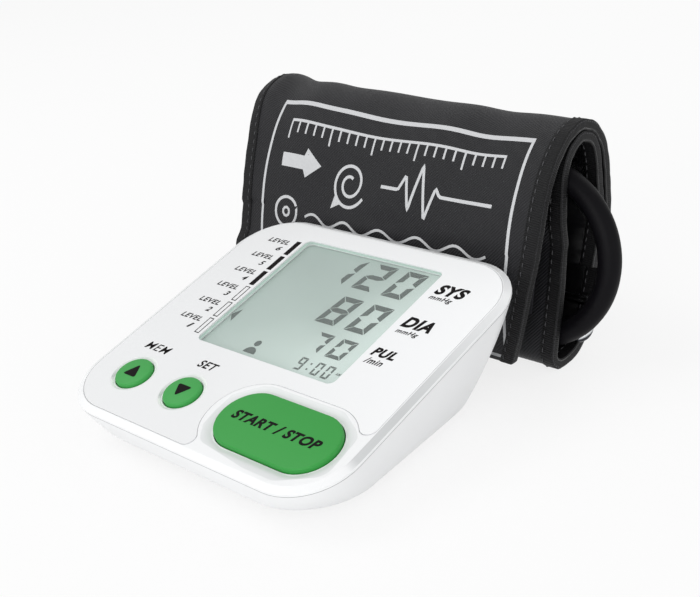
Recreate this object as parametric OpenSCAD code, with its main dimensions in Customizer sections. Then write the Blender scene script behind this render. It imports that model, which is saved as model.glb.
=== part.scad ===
// Upper-arm blood pressure monitor: a sloped desk unit with a display and
// three buttons, and its rolled arm cuff with the air hose put away inside.
// Millimetres. X runs to the right, Y to the rear, Z up from the table.
// The origin is on the table, below the middle of the box round both pieces.

/* [Case] */
// Width of the case across the face
face_w = 118; // [112:1:126]
// Length of the face from front to rear, along its slope
face_l = 109; // [104:1:116]
// Slope of the face against the table
face_tilt = 15; // [12:1:17]
// Height of the display's centre above the table
display_z = 33.5; // [32:0.5:37]
// Distance from the face's front edge to the display's centre
display_from_front = 70; // [68:0.5:72]
// Corner radius of the face at the front
front_corner_r = 20; // [16:1:22]
// Corner radius of the face at the rear
rear_corner_r = 20; // [16:1:22]
// Width of the bevel round the face
bevel_w = 2.2; // [1.6:0.1:3]
// Height of the bevel round the face
bevel_h = 1.2; // [0.8:0.1:1.6]
// Depth of the seam between the shells below the face
seam_d = 2.1; // [1.8:0.1:2.6]
// Wall thickness of the shells
wall = 2; // [1.6:0.1:2.4]
// How far the base's front edge lies behind the face's front edge
base_in_front = 7; // [5:0.5:9]
// How far the base's rear edge lies before the face's rear edge
base_in_rear = 16.5; // [14:0.5:18]
// How far the base's sides lie inside the face's sides at the front
base_in_side_front = 5.5; // [4:0.5:7]
// How far the base's sides lie inside the face's sides at the rear
base_in_side_rear = 13.5; // [11:0.5:14.5]
// Height of the rubber feet below the base
foot_h = 1.2; // [0.8:0.1:1.6]
// Diameter of the rubber feet
foot_d = 7; // [6:0.5:7.5]

/* [Face panel and display] */
// Thickness of the printed face panel
panel_t = 0.6; // [0.5:0.1:1]
// Gap between the face panel's edge and the bevel
panel_in = 0.4; // [0.3:0.1:0.8]
// Width of the display window
window_w = 61.4; // [58:0.2:64]
// Length of the display window
window_l = 58; // [54:0.5:60]
// Corner radius of the display window
window_r = 2.5; // [1.5:0.5:4]
// Thickness of the clear lens
lens_t = 1; // [0.8:0.1:1.2]
// Rim of the lens hidden under the face panel
lens_rim = 2; // [1.5:0.1:2.5]
// Thickness of the display glass
glass_t = 2.2; // [1.8:0.1:2.6]
// Rim of the display glass hidden in its holder
glass_rim = 2.5; // [2:0.1:3]
// Wall of the display holder
holder_wall = 2; // [1.5:0.1:2.5]
// Thickness of the circuit board
board_t = 1.6; // [1:0.1:1.8]
// Width of the circuit board
board_w = 92; // [90:1:93]
// Depth of the circuit board's top below the face
board_d = 7.4; // [7.2:0.1:7.8]

/* [Buttons] */
// Diameter of the two round buttons
small_d = 12.8; // [12:0.2:14]
// Height of the round buttons above the face
small_proud = 0.7; // [0.6:0.1:1.2]
// Distance of the left round button to the left of the display's centre
mem_x = 38.6; // [36:0.2:40]
// Distance of the right round button to the left of the display's centre
set_x = 14.4; // [12:0.2:16]
// Distance of the round buttons before the display's centre
small_y = 50.5; // [49:0.5:53]
// Length of the start and stop button
start_l = 45.4; // [40:0.1:48]
// Width of the start and stop button
start_w = 22.4; // [20:0.1:24]
// Height of the start and stop button above the face
start_proud = 0.9; // [0.7:0.1:1.4]
// Distance of the start and stop button to the right of the display's centre
start_x = 28.4; // [27:0.1:31]
// Distance of the start and stop button before the display's centre
start_y = 51.1; // [49:0.1:53]
// Width of the bay round the start and stop button, from its edge to the panel
bay_w = 4; // [3.4:0.1:4.4]
// Gap round every button
button_gap = 0.3; // [0.2:0.05:0.4]
// How far a button goes down
button_travel = 0.8; // [0.5:0.1:0.9]

/* [Pump, valve and sockets] */
// Diameter of the pump's motor
motor_d = 15; // [14:0.5:15.5]
// Length of the pump's motor
motor_l = 17; // [15:0.5:17.5]
// Length of the pump's head
head_l = 12.5; // [11:0.5:13]
// Thickness of the foam round the motor
foam_t = 0.8; // [0.5:0.1:1]
// Length of the foam round the motor
foam_l = 10; // [8:1:11]
// Bore of the air socket
socket_bore_d = 4.5; // [4:0.1:5]
// Diameter of the air socket's body
socket_d = 9; // [8:0.5:10]
// Outer diameter of the small air tubes inside
tube_d = 4; // [3.4:0.1:4.2]
// Bore of the small air tubes inside
tube_bore_d = 2.2; // [1.6:0.1:2.4]
// Travel of the release valve's plunger
valve_travel = 0.8; // [0.5:0.1:1]

/* [Battery bay] */
// Diameter of a cell
cell_d = 10.5; // [10.2:0.1:10.6]
// Length of a cell
cell_l = 44.5; // [43.5:0.1:45]
// Thickness of the battery door
door_t = 1.8; // [1.4:0.1:1.8]
// Gap round the battery door
door_gap = 0.3; // [0.2:0.05:0.4]

/* [Cuff] */
// Width of the cuff along its roll
cuff_w = 141; // [130:1:150]
// Distance of the cuff's right end from the display's centre line
cuff_right = 55; // [50:1:60]
// Thickness of the cuff's outer cloth and of its lining
cloth_t = 0.8; // [0.5:0.05:0.9]
// Thickness of the air bladder between them
bladder_t = 1.4; // [1:0.1:1.4]
// Width of the binding tape along the edges
binding_w = 5; // [4:0.5:6]
// Thickness of the binding tape
binding_t = 0.4; // [0.3:0.05:0.4]
// Wire diameter of the metal ring
ring_wire_d = 3.4; // [2.8:0.1:3.6]
// Height of the metal ring, between the centres of its long bars
ring_h = 13; // [12:0.5:13.5]
// How far the flap's right edge runs in at its free end
flap_taper = 8.5; // [0:0.5:12]
// How far the metal ring stands out of the cuff's right end
ring_out = 5; // [4.5:0.5:8]
// Outer diameter of the air hose
hose_d = 7.8; // [7:0.1:8]
// Bore of the air hose
hose_bore_d = 4; // [3:0.1:4.5]
// Diameter of the air plug's grip
plug_d = 8; // [7.5:0.1:8.2]
// Length of the air plug's grip
plug_l = 17; // [14:0.5:20]
// Length of the air plug's nozzle
nozzle_l = 8; // [6:0.5:9]

/* [Hidden] */
$fn = 48;
cut = 0.1;           // how far a cutter runs past the face it cuts
arc_steps = 12;      // straight pieces in each rounded corner of the shells

// ---- Where the two pieces stand ----
face_rear = face_l - display_from_front;
monitor_front = display_from_front * cos(face_tilt);
cuff_t = 2 * cloth_t + bladder_t;
cuff_left = cuff_right - cuff_w;
ring_x1 = cuff_right + ring_out;
// Middle line of the rolled cuff, seen from its end: [y, z] from the flap's free end,
// over the top, down the rear, round the fold on the table and once more round inside
roll = [[41.6, 6.5], [41.4, 20], [42.2, 34], [46.3, 49], [51.3, 61.5], [57.2, 72], [64.6, 79.2],
    [73, 82], [80.6, 79.8], [86, 73.6], [88.2, 64.5], [87.8, 50], [85.8, 36], [81.4, 22.5],
    [74.8, 10.4], [68, 3.7], [62, 1.72], [56.4, 1.72], [53, 4.5], [53.4, 9], [56, 18.5],
    [59.2, 32], [60.6, 46], [61.2, 59], [62.8, 68.6], [67.2, 75.2], [73.8, 78], [79.6, 75.8],
    [82.8, 70], [83.6, 58], [83, 44], [81, 34], [79, 28]];
roll_steps = 2;
// Smooth curve through the points (a cubic through each four neighbours)
function spline(p, steps) = let(n = len(p))
    [for (i = [0:n - 2]) let(
        a = i == 0 ? 2 * p[0] - p[1] : p[i - 1], b = p[i], c = p[i + 1],
        d = i == n - 2 ? 2 * p[n - 1] - p[n - 2] : p[i + 2])
        for (k = [0:steps - 1]) let(t = k / steps)
            b + t * (c - a) / 2 + t * t * (a - 2.5 * b + 2 * c - d / 2)
            + t * t * t * (1.5 * (b - c) + (d - a) / 2),
     p[n - 1]];
roll_line = spline(roll, roll_steps);
band_end = len(roll_line) - 1;
cuff_rear = max([for (p = roll_line) p.x]) + cuff_t / 2 + binding_t;
case_front = monitor_front - bevel_h * sin(face_tilt);
box_x = -(cuff_left - binding_t + max(ring_x1, face_w / 2)) / 2;
box_y = (case_front - cuff_rear) / 2;

module placed() translate([box_x, box_y, 0]) children();
// Face frame: origin at the display's centre on the face, Z square to the face
module on_face() placed() translate([0, 0, display_z]) rotate([face_tilt, 0, 0]) children();

// A point of the face frame in the standing frame
function from_face(p) = [p.x, p.y * cos(face_tilt) - p.z * sin(face_tilt),
    display_z + p.y * sin(face_tilt) + p.z * cos(face_tilt)];
// Height, in the standing frame, of the plane that lies d below the face
function plane_z(y, d) = display_z + y * tan(face_tilt) - d / cos(face_tilt);

// ---- Outlines and lofts ----
function unit(v) = v / norm(v);
// Points of one rounded corner b of a convex outline that runs anticlockwise
function corner(a, b, c, r) = let(
        u = unit(a - b), v = unit(c - b), half = acos(u * v) / 2,
        middle = b + unit(u + v) * r / sin(half),
        first = b + u * r / tan(half) - middle, last = b + v * r / tan(half) - middle,
        start = atan2(first.y, first.x),
        turn = (atan2(last.y, last.x) - start + 720) % 360)
    [for (i = [0:arc_steps]) middle + r * [cos(start + turn * i / arc_steps),
        sin(start + turn * i / arc_steps)]];
// Rounded trapezoid: half widths at front and rear, front and rear edge, radii
function outline(hw_f, hw_r, y_f, y_r, r_f, r_r) = let(
        p = [[-hw_f, y_f], [hw_f, y_f], [hw_r, y_r], [-hw_r, y_r]])
    [each corner(p[3], p[0], p[1], r_f), each corner(p[0], p[1], p[2], r_f),
     each corner(p[1], p[2], p[3], r_r), each corner(p[2], p[3], p[0], r_r)];
// Outline of the face, drawn in by d
function face_outline(d) = outline(face_w / 2 - d, face_w / 2 - d, d - display_from_front,
    face_rear - d, front_corner_r - d, rear_corner_r - d);
// Outline of the base on the table, drawn in by d
function base_outline(d) = outline(face_w / 2 - base_in_side_front - d,
    face_w / 2 - base_in_side_rear - d, base_in_front - monitor_front + d,
    face_rear * cos(face_tilt) - base_in_rear - d, front_corner_r + 4 - d, rear_corner_r - 4 - d);
function lift(shape, z) = [for (p = shape) [p.x, p.y, z]];
// Obround with its long axis along X: centre, length and width
function obround(c, l, w) = [for (s = [1, -1]) for (i = [0:arc_steps * 2])
    c + [s * (l - w) / 2, 0] + w / 2 * s * [cos(90 * i / arc_steps - 90), sin(90 * i / arc_steps - 90)]];

// Solid skinned over rings of equal count, each anticlockwise, from low to high
module loft(rings) {
    n = len(rings[0]);
    last = (len(rings) - 1) * n;
    points = [for (r = rings) each r];
    sides = [for (k = [0:len(rings) - 2]) for (i = [0:n - 1]) let(
        a = k * n + i, b = k * n + (i + 1) % n) each [[a, a + n, b], [b, a + n, b + n]]];
    polyhedron(points, concat([[for (i = [0:n - 1]) i]], sides,
        [[for (i = [n - 1:-1:0]) last + i]]), convexity = 8);
}
// Tube with a bore swept along a path, square at both ends
module swept_tube(path, d, bore, sides) {
    n = len(path);
    dir = [for (i = [0:n - 1]) unit(path[min(i + 1, n - 1)] - path[max(i - 1, 0)])];
    side = sweep_side(dir);
    points = [for (r = [d / 2, bore / 2]) for (i = [0:n - 1]) for (k = [0:sides - 1])
        let(a = 360 * k / sides, up = cross(dir[i], side[i]))
        path[i] + r * (cos(a) * side[i] + sin(a) * up)];
    m = n * sides;
    skin = [for (i = [0:n - 2]) for (k = [0:sides - 1]) let(
        a = i * sides + k, b = i * sides + (k + 1) % sides)
        each [[a, a + sides, b], [b, a + sides, b + sides],
              [m + a, m + b, m + a + sides], [m + b, m + b + sides, m + a + sides]]];
    e = (n - 1) * sides;
    ends = [for (k = [0:sides - 1]) let(j = (k + 1) % sides)
        each [[k, j, m + k], [j, m + j, m + k],
              [e + k, m + e + k, e + j], [e + j, m + e + k, m + e + j]]];
    polyhedron(points, concat(skin, ends), convexity = 10);
}
// Side directions carried along a path without twist, as one list
function sweep_side(dir, i = 0, side = []) = i == len(dir) ? side : let(
        seed = i == 0 ? (abs(dir[0].z) < 0.9 ? [0, 0, 1] : [1, 0, 0]) : side[i - 1],
        flat = unit(seed - (seed * dir[i]) * dir[i]))
    sweep_side(dir, i + 1, [each side, flat]);
module box(low, high) translate(low) cube(high - low);
module plate(w, l, t, r) linear_extrude(t) rounded(w, l, r);
module rounded(w, l, r) polygon(outline(w / 2, w / 2, -l / 2, l / 2, r, r));

// ---- Depths below the face ----
touch = 0.1;                                 // clearance between parts that rest together
plate_t = wall;
plate_d = panel_t + plate_t;                 // underside of the top shell's plate
lens_d = panel_t + lens_t;                   // underside of the lens
ledge_t = 0.5;                               // rim of the shell between lens and display glass
glass_d = lens_d + ledge_t + touch;          // top of the display glass
board_low_d = board_d + board_t;
fit = 0.3;                                   // clearance between parts that come apart
start_at = [start_x, -start_y];
small_at = [[-mem_x, -small_y], [-set_x, -small_y]];
start_hole = start_w + 2 * button_gap;
start_hole_l = start_l + 2 * button_gap;
small_hole_d = small_d + 2 * button_gap;
small_dish_h = 0.2;                          // depth, in the plate, of the rings round the round buttons
small_low = 0.8;                             // their extra width on the plate
small_dish = 3.2;                            // and on the face
start_dish_h = 0.7;                          // depth of the ring round the start and stop button
start_low = 2.4;                             // its extra width at the bottom
start_dish = 5.6;                            // and on the face
flange = 1.2;                                // how far a button's flange reaches under the plate
flange_t = 1.1;
flange_d = plate_d + flange_t + touch;       // underside of a button's flange
switch_h = 2;
switch_w = 6;
switch_cap_h = 0.3;
stem_end_d = board_d - switch_h - switch_cap_h - button_travel - touch;
lip_h = 2.4;                                 // lip of the top shell inside the lower shell
lip_t = 1.4;
lip_in = 1;                                  // how far the lip leans in towards its edge
hook_places = [-28, 28];                     // hooks on the lip's rear side
hook_w = 6;
hook_reach = 0.9;

// ---- Screw places ----
// Case screws stand upright: places in the standing frame
case_posts = [[0.6, -52.5], [-43.4, -31.5], [43.4, -31.5], [40.6, 0]];
post_d = 6;
screw_d = 2.5;
screw_hole_d = 2.1;
screw_head_d = 4.6;
screw_head_h = 1.6;
screw_grip = 5;                              // floor of a post between screw head and joint
function post_joint(p) = plane_z(p.y, board_low_d + 1.8);
function screw_seat(p) = max(post_joint(p) - screw_grip, base_z + screw_head_h + 1);
// Place, in the face frame, of the upright through p where it lies d below the face
function over(p, d) = [p.x, (p.y - d * sin(face_tilt)) / cos(face_tilt)];
// Board screws stand square to the face: places in the face frame
board_posts = [[-25.2, -57.5], [-40.5, 20], [40.5, 20], [40.5, -20]];
board_front = 62;                            // front edge of the board before the display's centre
board_rear = 28;

// ================= The case =================
module top_shell() color("white") difference() {
    union() {
        on_face() {
            loft([lift(face_outline(0), -seam_d), lift(face_outline(0), -bevel_h),
                  lift(face_outline(bevel_w), 0)]);
            // The plate under the face panel and the lip that locates the lower shell
            translate([0, 0, -plate_d]) linear_extrude(plate_d - seam_d + cut)
                polygon(face_outline(wall + fit + 0.3));
            difference() {
                loft([lift(face_outline(wall + fit + lip_in), -seam_d - lip_h),
                      lift(face_outline(wall + fit), -seam_d + cut)]);
                translate([0, 0, -seam_d - lip_h - cut]) linear_extrude(lip_h + 3 * cut)
                    polygon(face_outline(wall + fit + lip_in + lip_t));
            }
            for (x = hook_places) box([x - hook_w / 2, face_rear - wall - fit - lip_in - 1,
                -seam_d - lip_h + 0.2], [x + hook_w / 2, face_rear - wall - fit + hook_reach,
                -seam_d - lip_h + 1.2]);
            for (p = board_posts) translate([p.x, p.y, -board_d + touch])
                cylinder(h = board_d - plate_d + 1, d = post_d - 1);
        }
        placed() for (p = case_posts) translate([p.x, p.y, post_joint(p)])
            cylinder(h = plane_z(p.y, plate_d) + 1 - post_joint(p), d = post_d);
    }
    on_face() {
        // Seat of the face panel
        translate([0, 0, -panel_t]) linear_extrude(panel_t + cut) panel_outline(panel_in - 0.15);
        // Window and the seat of its lens
        translate([0, 0, -lens_d]) plate(window_w + 2 * lens_rim + 0.2,
            window_l + 2 * lens_rim + 0.2, lens_d, window_r + lens_rim);
        translate([0, 0, -seam_d - 4]) plate(window_w, window_l, seam_d + 4, window_r);
        // Pocket of the display glass, from below
        translate([0, 0, -plate_d - cut]) plate(window_w + 2 * (glass_rim + touch),
            window_l + 2 * (glass_rim + touch), plate_d - glass_d + touch + cut, 1);
        // Holes of the round buttons, each in a dished ring
        for (p = small_at) translate([p.x, p.y, 0]) {
            translate([0, 0, -seam_d - 4]) cylinder(h = seam_d + 4, d = small_hole_d);
            translate([0, 0, -panel_t - small_dish_h]) cylinder(h = small_dish_h + cut,
                d1 = small_hole_d, d2 = small_hole_d + small_low);
        }
        // Hole of the start and stop button in its dished ring
        translate([0, 0, -seam_d - 4]) linear_extrude(seam_d + 5)
            polygon(obround(start_at, start_hole_l, start_hole));
        loft([lift(obround(start_at, start_hole_l + start_low, start_hole + start_low), -start_dish_h),
              lift(obround(start_at, start_l + start_dish, start_w + start_dish), cut)]);
        // Room in the lip for that button's flange
        translate([0, 0, -seam_d - lip_h - cut]) linear_extrude(seam_d + lip_h + cut - plate_d)
            polygon(obround(start_at, start_hole_l + 2 * flange, start_hole + 2 * flange));
        for (p = board_posts) translate([p.x, p.y, -board_d])
            cylinder(h = board_d - plate_d, d = screw_hole_d);
    }
    // Holes of the case screws, from below
    placed() for (p = case_posts) translate([p.x, p.y, post_joint(p) - cut])
        cylinder(h = screw_grip + 1.6, d = screw_hole_d);
}

bay_step = 8.2;      // edge of the panel behind the middle of the start and stop button
bay_side = 1;        // how much longer the bay is than its width asks for
panel_r = 3;         // radius of the panel's corners at the bay
// Outline of the face panel: it leaves a bay round the start and stop button
module panel_outline(d) offset(r = panel_r) offset(delta = -panel_r) difference() {
    polygon(face_outline(bevel_w + d));
    bay_left = start_at.x - start_l / 2 + 1 - d;
    bay_top = start_at.y + bay_step + d;
    offset(r = -panel_r) offset(delta = panel_r) union() {
        polygon(obround(start_at - [bay_side / 2, 0], start_l + bay_side + 2 * (bay_w + d),
            start_w + 2 * (bay_w + d)));
        translate([bay_left, -face_l]) square([face_w, bay_top + face_l]);
    }
}

module face_panel() color("#f2f3f3") on_face() translate([0, 0, -panel_t + 0.02]) difference() {
    linear_extrude(panel_t) difference() {
        panel_outline(panel_in);
        rounded(window_w, window_l, window_r);
    }
    // Rings round the buttons slope down to the plate
    for (p = small_at) translate([p.x, p.y, -cut]) cylinder(h = panel_t + 2 * cut,
        d1 = small_hole_d + small_low, d2 = small_hole_d + small_dish);
}

module display_lens() color([0.8, 0.9, 0.86, 0.4]) on_face() translate([0, 0, -lens_d + 0.02])
    plate(window_w + 2 * lens_rim, window_l + 2 * lens_rim, lens_t - 0.04, window_r + lens_rim - 0.1);

module display_glass() color("#c3d3cd") on_face() translate([0, 0, -glass_d - glass_t])
    plate(window_w + 2 * glass_rim, window_l + 2 * glass_rim, glass_t, 1);

// Frame that holds the display glass between the board and the top shell
module display_holder() color("#e4e6e6") on_face() translate([0, 0, -board_d + touch])
    linear_extrude(board_d - plate_d - 2 * touch) difference() {
        side = 2 * (glass_rim + touch);
        intersection() {
            rounded(window_w + side + 2 * holder_wall, window_l + side + 2 * holder_wall, 2);
            polygon(face_outline(wall + lip_in + lip_t + 2 * fit));
        }
        rounded(window_w + side, window_l + side, 1);
    }

strip_w = 2.2;
module contact_strips() color("#e8a0a8") on_face() for (s = [-1, 1])
    translate([0, s * (window_l / 2 + glass_rim - strip_w / 2 - 0.2), -board_d + 0.02])
        linear_extrude(board_d - glass_d - glass_t - 0.04)
            square([window_w - 4, strip_w], center = true);

module main_board() color("#1f6b3a") on_face() translate([0, 0, -board_low_d])
    linear_extrude(board_t) difference() {
        translate([0, (board_rear - board_front) / 2]) rounded(board_w, board_front + board_rear, 14);
        for (p = board_posts) translate(p) circle(d = screw_d + 0.4);
        // Holes that pass the posts of the case screws, open to the board's side
        for (p = case_posts) translate(over(p, board_d + board_t / 2)) {
            circle(d = post_d + 2);
            if (abs(p.x) > 10) translate([p.x > 0 ? 0 : -9, -post_d / 2 - 1]) square([9, post_d + 2]);
        }
    }

chip_h = 1.4;
module controller_chip() color("#26262a") on_face()
    translate([-8, -12, -board_low_d - chip_h - 0.02]) linear_extrude(chip_h)
        square([12, 12], center = true);

key_places = [each small_at, start_at];
module key_switches() color("#303034") on_face() for (p = key_places) {
    translate([p.x, p.y, -board_d + 0.02]) linear_extrude(switch_h - 0.02)
        square(switch_w, center = true);
    translate([p.x, p.y, -board_d + switch_h - cut]) cylinder(h = switch_cap_h + cut, d = 3.2);
}

// A round button: cap, flange under the plate and stem over its switch
cap_round = 0.5;
module round_button(p) on_face() translate([p.x, p.y, 0]) rotate_extrude() polygon([
    [0, -stem_end_d], [2, -stem_end_d], [2, -flange_d], [small_d / 2 + flange, -flange_d],
    [small_d / 2 + flange, -plate_d - touch], [small_d / 2, -plate_d - touch],
    [small_d / 2, small_proud - cap_round], [small_d / 2 - cap_round * 0.3, small_proud - cap_round * 0.3],
    [small_d / 2 - cap_round, small_proud], [0, small_proud]]);
module mem_button() color("#53ac60") round_button(small_at[0]);
module set_button() color("#53ac60") round_button(small_at[1]);

start_round = 0.6;
module start_button() color("#46a252") on_face() {
    loft([lift(obround(start_at, start_l, start_w), -plate_d - touch - cut),
        for (a = [0:22.5:90]) lift(obround(start_at, start_l - 2 * start_round * (1 - cos(a)),
            start_w - 2 * start_round * (1 - cos(a))), start_proud - start_round * (1 - sin(a)))]);
    translate([0, 0, -flange_d]) linear_extrude(flange_t)
        polygon(obround(start_at, start_l + 2 * flange, start_w + 2 * flange));
    translate([start_at.x, start_at.y, -stem_end_d]) cylinder(h = stem_end_d - plate_d, d = 5);
}

// ---- Lower shell ----
base_z = foot_h;
fillet_in = 4;
fillet_z = 4.5;
wall_bow = 0.35;     // how much the walls bulge between base and seam
// One ring of the lower shell: w is how far it lies inside the outer skin, e how
// far the base's edge is drawn in, z0 a height, s the share of the way from there up
function tub_ring(w, e, z0, s) = let(
        top = face_outline(w), low = base_outline(w), low_in = base_outline(w + e))
    [for (i = [0:len(top) - 1]) let(
        t = from_face([top[i].x, top[i].y, -seam_d]),
        z = z0 + (t.z - z0) * s,
        g = (z - base_z) / (t.z - base_z),
        h = g * (1 + wall_bow) - wall_bow * g * g)
        [low_in[i].x + (t.x - low[i].x) * h, low_in[i].y + (t.y - low[i].y) * h, z]];
fillet_steps = [for (a = [0:15:90]) [fillet_in * (1 - sin(a)), fillet_z * (1 - cos(a))]];
wall_steps = [0.15, 0.3, 0.45, 0.6, 0.8, 1];
outer_rings = [for (f = fillet_steps) tub_ring(0, f[0], base_z + f[1], 0),
    for (s = wall_steps) tub_ring(0, 0, base_z + fillet_z, s)];
inner_floor = base_z + wall;
inner_rings = [for (s = [1, 0.8, 0.6, 0.3]) tub_ring(wall, 0, base_z + fillet_z, s),
    tub_ring(wall, 0.6, inner_floor + 1, 0), tub_ring(wall, 1.8, inner_floor, 0)];

// Battery bay, in the standing frame
cell_pitch = cell_d + 0.5;
bay_x0 = -12;                                // left inner face
bay_x1 = bay_x0 + 4 * cell_pitch;
bay_y1 = 17.5;                               // rear inner face
contact_t = 0.4;
contact_room = 2.2;                          // room for the contacts at each end
bay_y0 = bay_y1 - cell_l - 2 * contact_room;
cell_z = base_z + door_t + touch + cell_d / 2;
bay_top = cell_z + cell_d / 2 + 0.3;
bay_wall = 1.2;
tab_reach = 1.5;                             // how far the door's tabs reach under the rails
tab_l = 6;
tab_t = 0.9;
tab_z = base_z + door_t - tab_t;
door_travel = 10;                            // slide that brings the tabs over their gaps
tab_places = [bay_y0 + 5, bay_y0 + 26];
rail_h = 1.2;

// Pump, in the standing frame
foam_d = motor_d + 2 * foam_t;
motor_y = 9;
motor_z = inner_floor + touch + foam_d / 2;
pump_x1 = bay_x0 - bay_wall - 1.6;           // right end of the pump
head_x0 = pump_x1 - head_l;
motor_x0 = head_x0 - motor_l;
head_half = 7;
nozzle = 4;                                  // length of the small nozzles

// Sockets, valve and manifold, in the standing frame
valve_size = [12, 12, 8];
hub = [-24, -13, inner_floor + 0.02 + valve_size.z / 2];
hub_r = 3.2;
hub_top = hub.z + 3;
valve_low = [hub.x - valve_size.x / 2, -37];
socket_y = hub.y;
socket_z = 12;
socket_tip = -56.4;
socket_end = -42.6;
power_x = -24;
power_z = 22.6;
power_tip = 33.3;
power_l = 11;
power_d = 8;
buzzer_at = [-12, -46];
foot_places = [[-40, -47], [40, -47], [-34, 8], [37.8, 6.5]];

module tub() loft([each outer_rings, each inner_rings]);
module bottom_shell() color("#f4f5f5") placed() difference() {
    union() {
        tub();
        // Posts that carry the case screws up to the top shell's posts
        for (p = case_posts) translate([p.x, p.y, inner_floor - 1])
            cylinder(h = post_joint(p) - touch - inner_floor + 1, d = post_d + 1);
        // Cradle under the pump's foam
        for (x = [-foam_l / 2 + 1, foam_l / 2 - 3]) translate([motor_x0 + motor_l / 2 + x, 0, 0])
            box([0, motor_y - 6, inner_floor - 0.5], [2, motor_y + 6, inner_floor + 2]);
        // Battery bay with the rails of its door
        box([bay_x0 - bay_wall, bay_y0 - bay_wall, inner_floor - 0.5],
            [bay_x1 + bay_wall, bay_y1 + 3, bay_top + bay_wall]);
        box([bay_x0 - tab_reach - bay_wall, bay_y0 - bay_wall, inner_floor - 0.5],
            [bay_x1 + tab_reach + bay_wall, bay_y1 + 3, inner_floor + rail_h]);
        // Bosses of the two sockets
        translate([socket_end - 8, socket_y, socket_z]) rotate([0, 90, 0])
            cylinder(h = 7, d = socket_d + 3);
        box([socket_end - 6, socket_y - 2, inner_floor - 0.5],
            [socket_end - 1, socket_y + 2, socket_z]);
        translate([power_x, power_tip - power_l + 1, power_z]) rotate([-90, 0, 0])
            cylinder(h = 7, d = power_d + 3);
    }
    // Hollow of the battery bay, the door's opening and the tabs' ways
    box([bay_x0, bay_y0, base_z + door_t], [bay_x1, bay_y1, bay_top]);
    box([bay_x0, bay_y0, base_z - 1], [bay_x1, bay_y1 + 9, base_z + door_t + touch]);
    box([bay_x0 - tab_reach - door_gap, bay_y0 + 2, tab_z - touch],
        [bay_x1 + tab_reach + door_gap, tab_places[1] + tab_l + door_travel + 1, base_z + door_t + touch]);
    for (y = tab_places) box([bay_x0 - tab_reach - door_gap, y + door_travel - 0.5, base_z - 1],
        [bay_x1 + tab_reach + door_gap, y + door_travel + tab_l + 0.5, tab_z + 0.2]);
    // Slots that pass the contacts' tabs
    for (i = [0, 3]) translate([bay_x0 + cell_pitch * (i + 0.5), bay_y0, bay_top - 1])
        box([-1.9, -touch, 0], [1.9, contact_t + touch, 5]);
    // Hollow of the pump's cradle
    translate([motor_x0, motor_y, motor_z]) rotate([0, 90, 0])
        cylinder(h = motor_l, d = foam_d + 2 * touch);
    // Holes of the sockets
    translate([socket_tip - 8, socket_y, socket_z]) rotate([0, 90, 0])
        cylinder(h = socket_end - socket_tip + 8, d = socket_d + touch);
    translate([power_x, power_tip - power_l - 5, power_z]) rotate([-90, 0, 0])
        cylinder(h = 30, d = power_d + touch);
    // Screw ways from below
    for (p = case_posts) translate([p.x, p.y, 0]) {
        cylinder(h = post_joint(p) + 5, d = screw_d + 0.5);
        cylinder(h = screw_seat(p), d = screw_head_d + 0.8);
    }
    // Seats of the feet and slots over the buzzer
    for (p = foot_places) translate([p.x, p.y, base_z - cut]) cylinder(h = 0.7, d = foot_d + 0.2);
    for (i = [-2:2]) translate([buzzer_at.x + i * 2.4, buzzer_at.y, 0])
        box([-0.5, -4, 0], [0.5, 4, 6]);
    // Pockets of the top shell's hooks
    rotate_to_face() for (x = hook_places)
        box([x - hook_w / 2 - fit, face_rear - wall - 1.5, -seam_d - lip_h - 0.1],
            [x + hook_w / 2 + fit, face_rear - wall - fit + hook_reach + fit, -seam_d - lip_h + 1.5]);
}
module rotate_to_face() translate([0, 0, display_z]) rotate([face_tilt, 0, 0]) children();

// The door follows the lower shell's outside, so its rear end is part of the fillet
module battery_door() color("#eeefef") placed() {
    difference() {
        intersection() {
            loft(outer_rings);
            box([bay_x0 + door_gap, bay_y0 + door_gap, base_z - 1],
                [bay_x1 - door_gap, face_rear, base_z + door_t]);
        }
        // Finger ridges
        for (i = [0:4]) translate([(bay_x0 + bay_x1) / 2, bay_y1 - 11 + i * 2, base_z])
            box([-9, 0, -1], [9, 1, 0.5]);
    }
    for (y = tab_places) box([bay_x0 - tab_reach, y, tab_z], [bay_x1 + tab_reach, y + tab_l, base_z + door_t]);
}

module battery_cells() color("#3c5a78") placed() for (i = [0:3])
    translate([bay_x0 + cell_pitch * (i + 0.5), bay_y0 + contact_room, cell_z]) rotate([-90, 0, 0]) {
        up = i % 2;
        translate([0, 0, up ? 0 : 1.2]) cylinder(h = cell_l - 1.2, d = cell_d);
        translate([0, 0, up ? cell_l - 1.3 : 0]) cylinder(h = 1.3, d = 3.8);
    }

// Coiled contacts that press the flat ends of the cells, drawn as tapered cups
module spring_contacts() color("#c9ccd1") placed() for (i = [0:3]) {
    up = i % 2;
    y = up ? bay_y0 + contact_t : bay_y1 - contact_t;
    translate([bay_x0 + cell_pitch * (i + 0.5), y, cell_z]) rotate([up ? -90 : 90, 0, 0])
        difference() {
            cylinder(h = contact_room - contact_t, d1 = 6.5, d2 = 4.4);
            translate([0, 0, -cut]) cylinder(h = contact_room, d1 = 5.3, d2 = 3.2);
        }
}
module plate_contacts() color("#d6d8dc") placed() for (i = [0:3]) {
    translate([bay_x0 + cell_pitch * (i + 0.5), 0, cell_z]) {
        for (y = [bay_y0, bay_y1 - contact_t]) box([-4.4, y, -4.2], [4.4, y + contact_t, 4.2]);
        // Tabs of the two end contacts, up to the board
        if (i == 0 || i == 3) box([-1.5, bay_y0, 4], [1.5, bay_y0 + contact_t,
            plane_z(bay_y0, board_low_d) - touch - cell_z]);
    }
}

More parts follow.
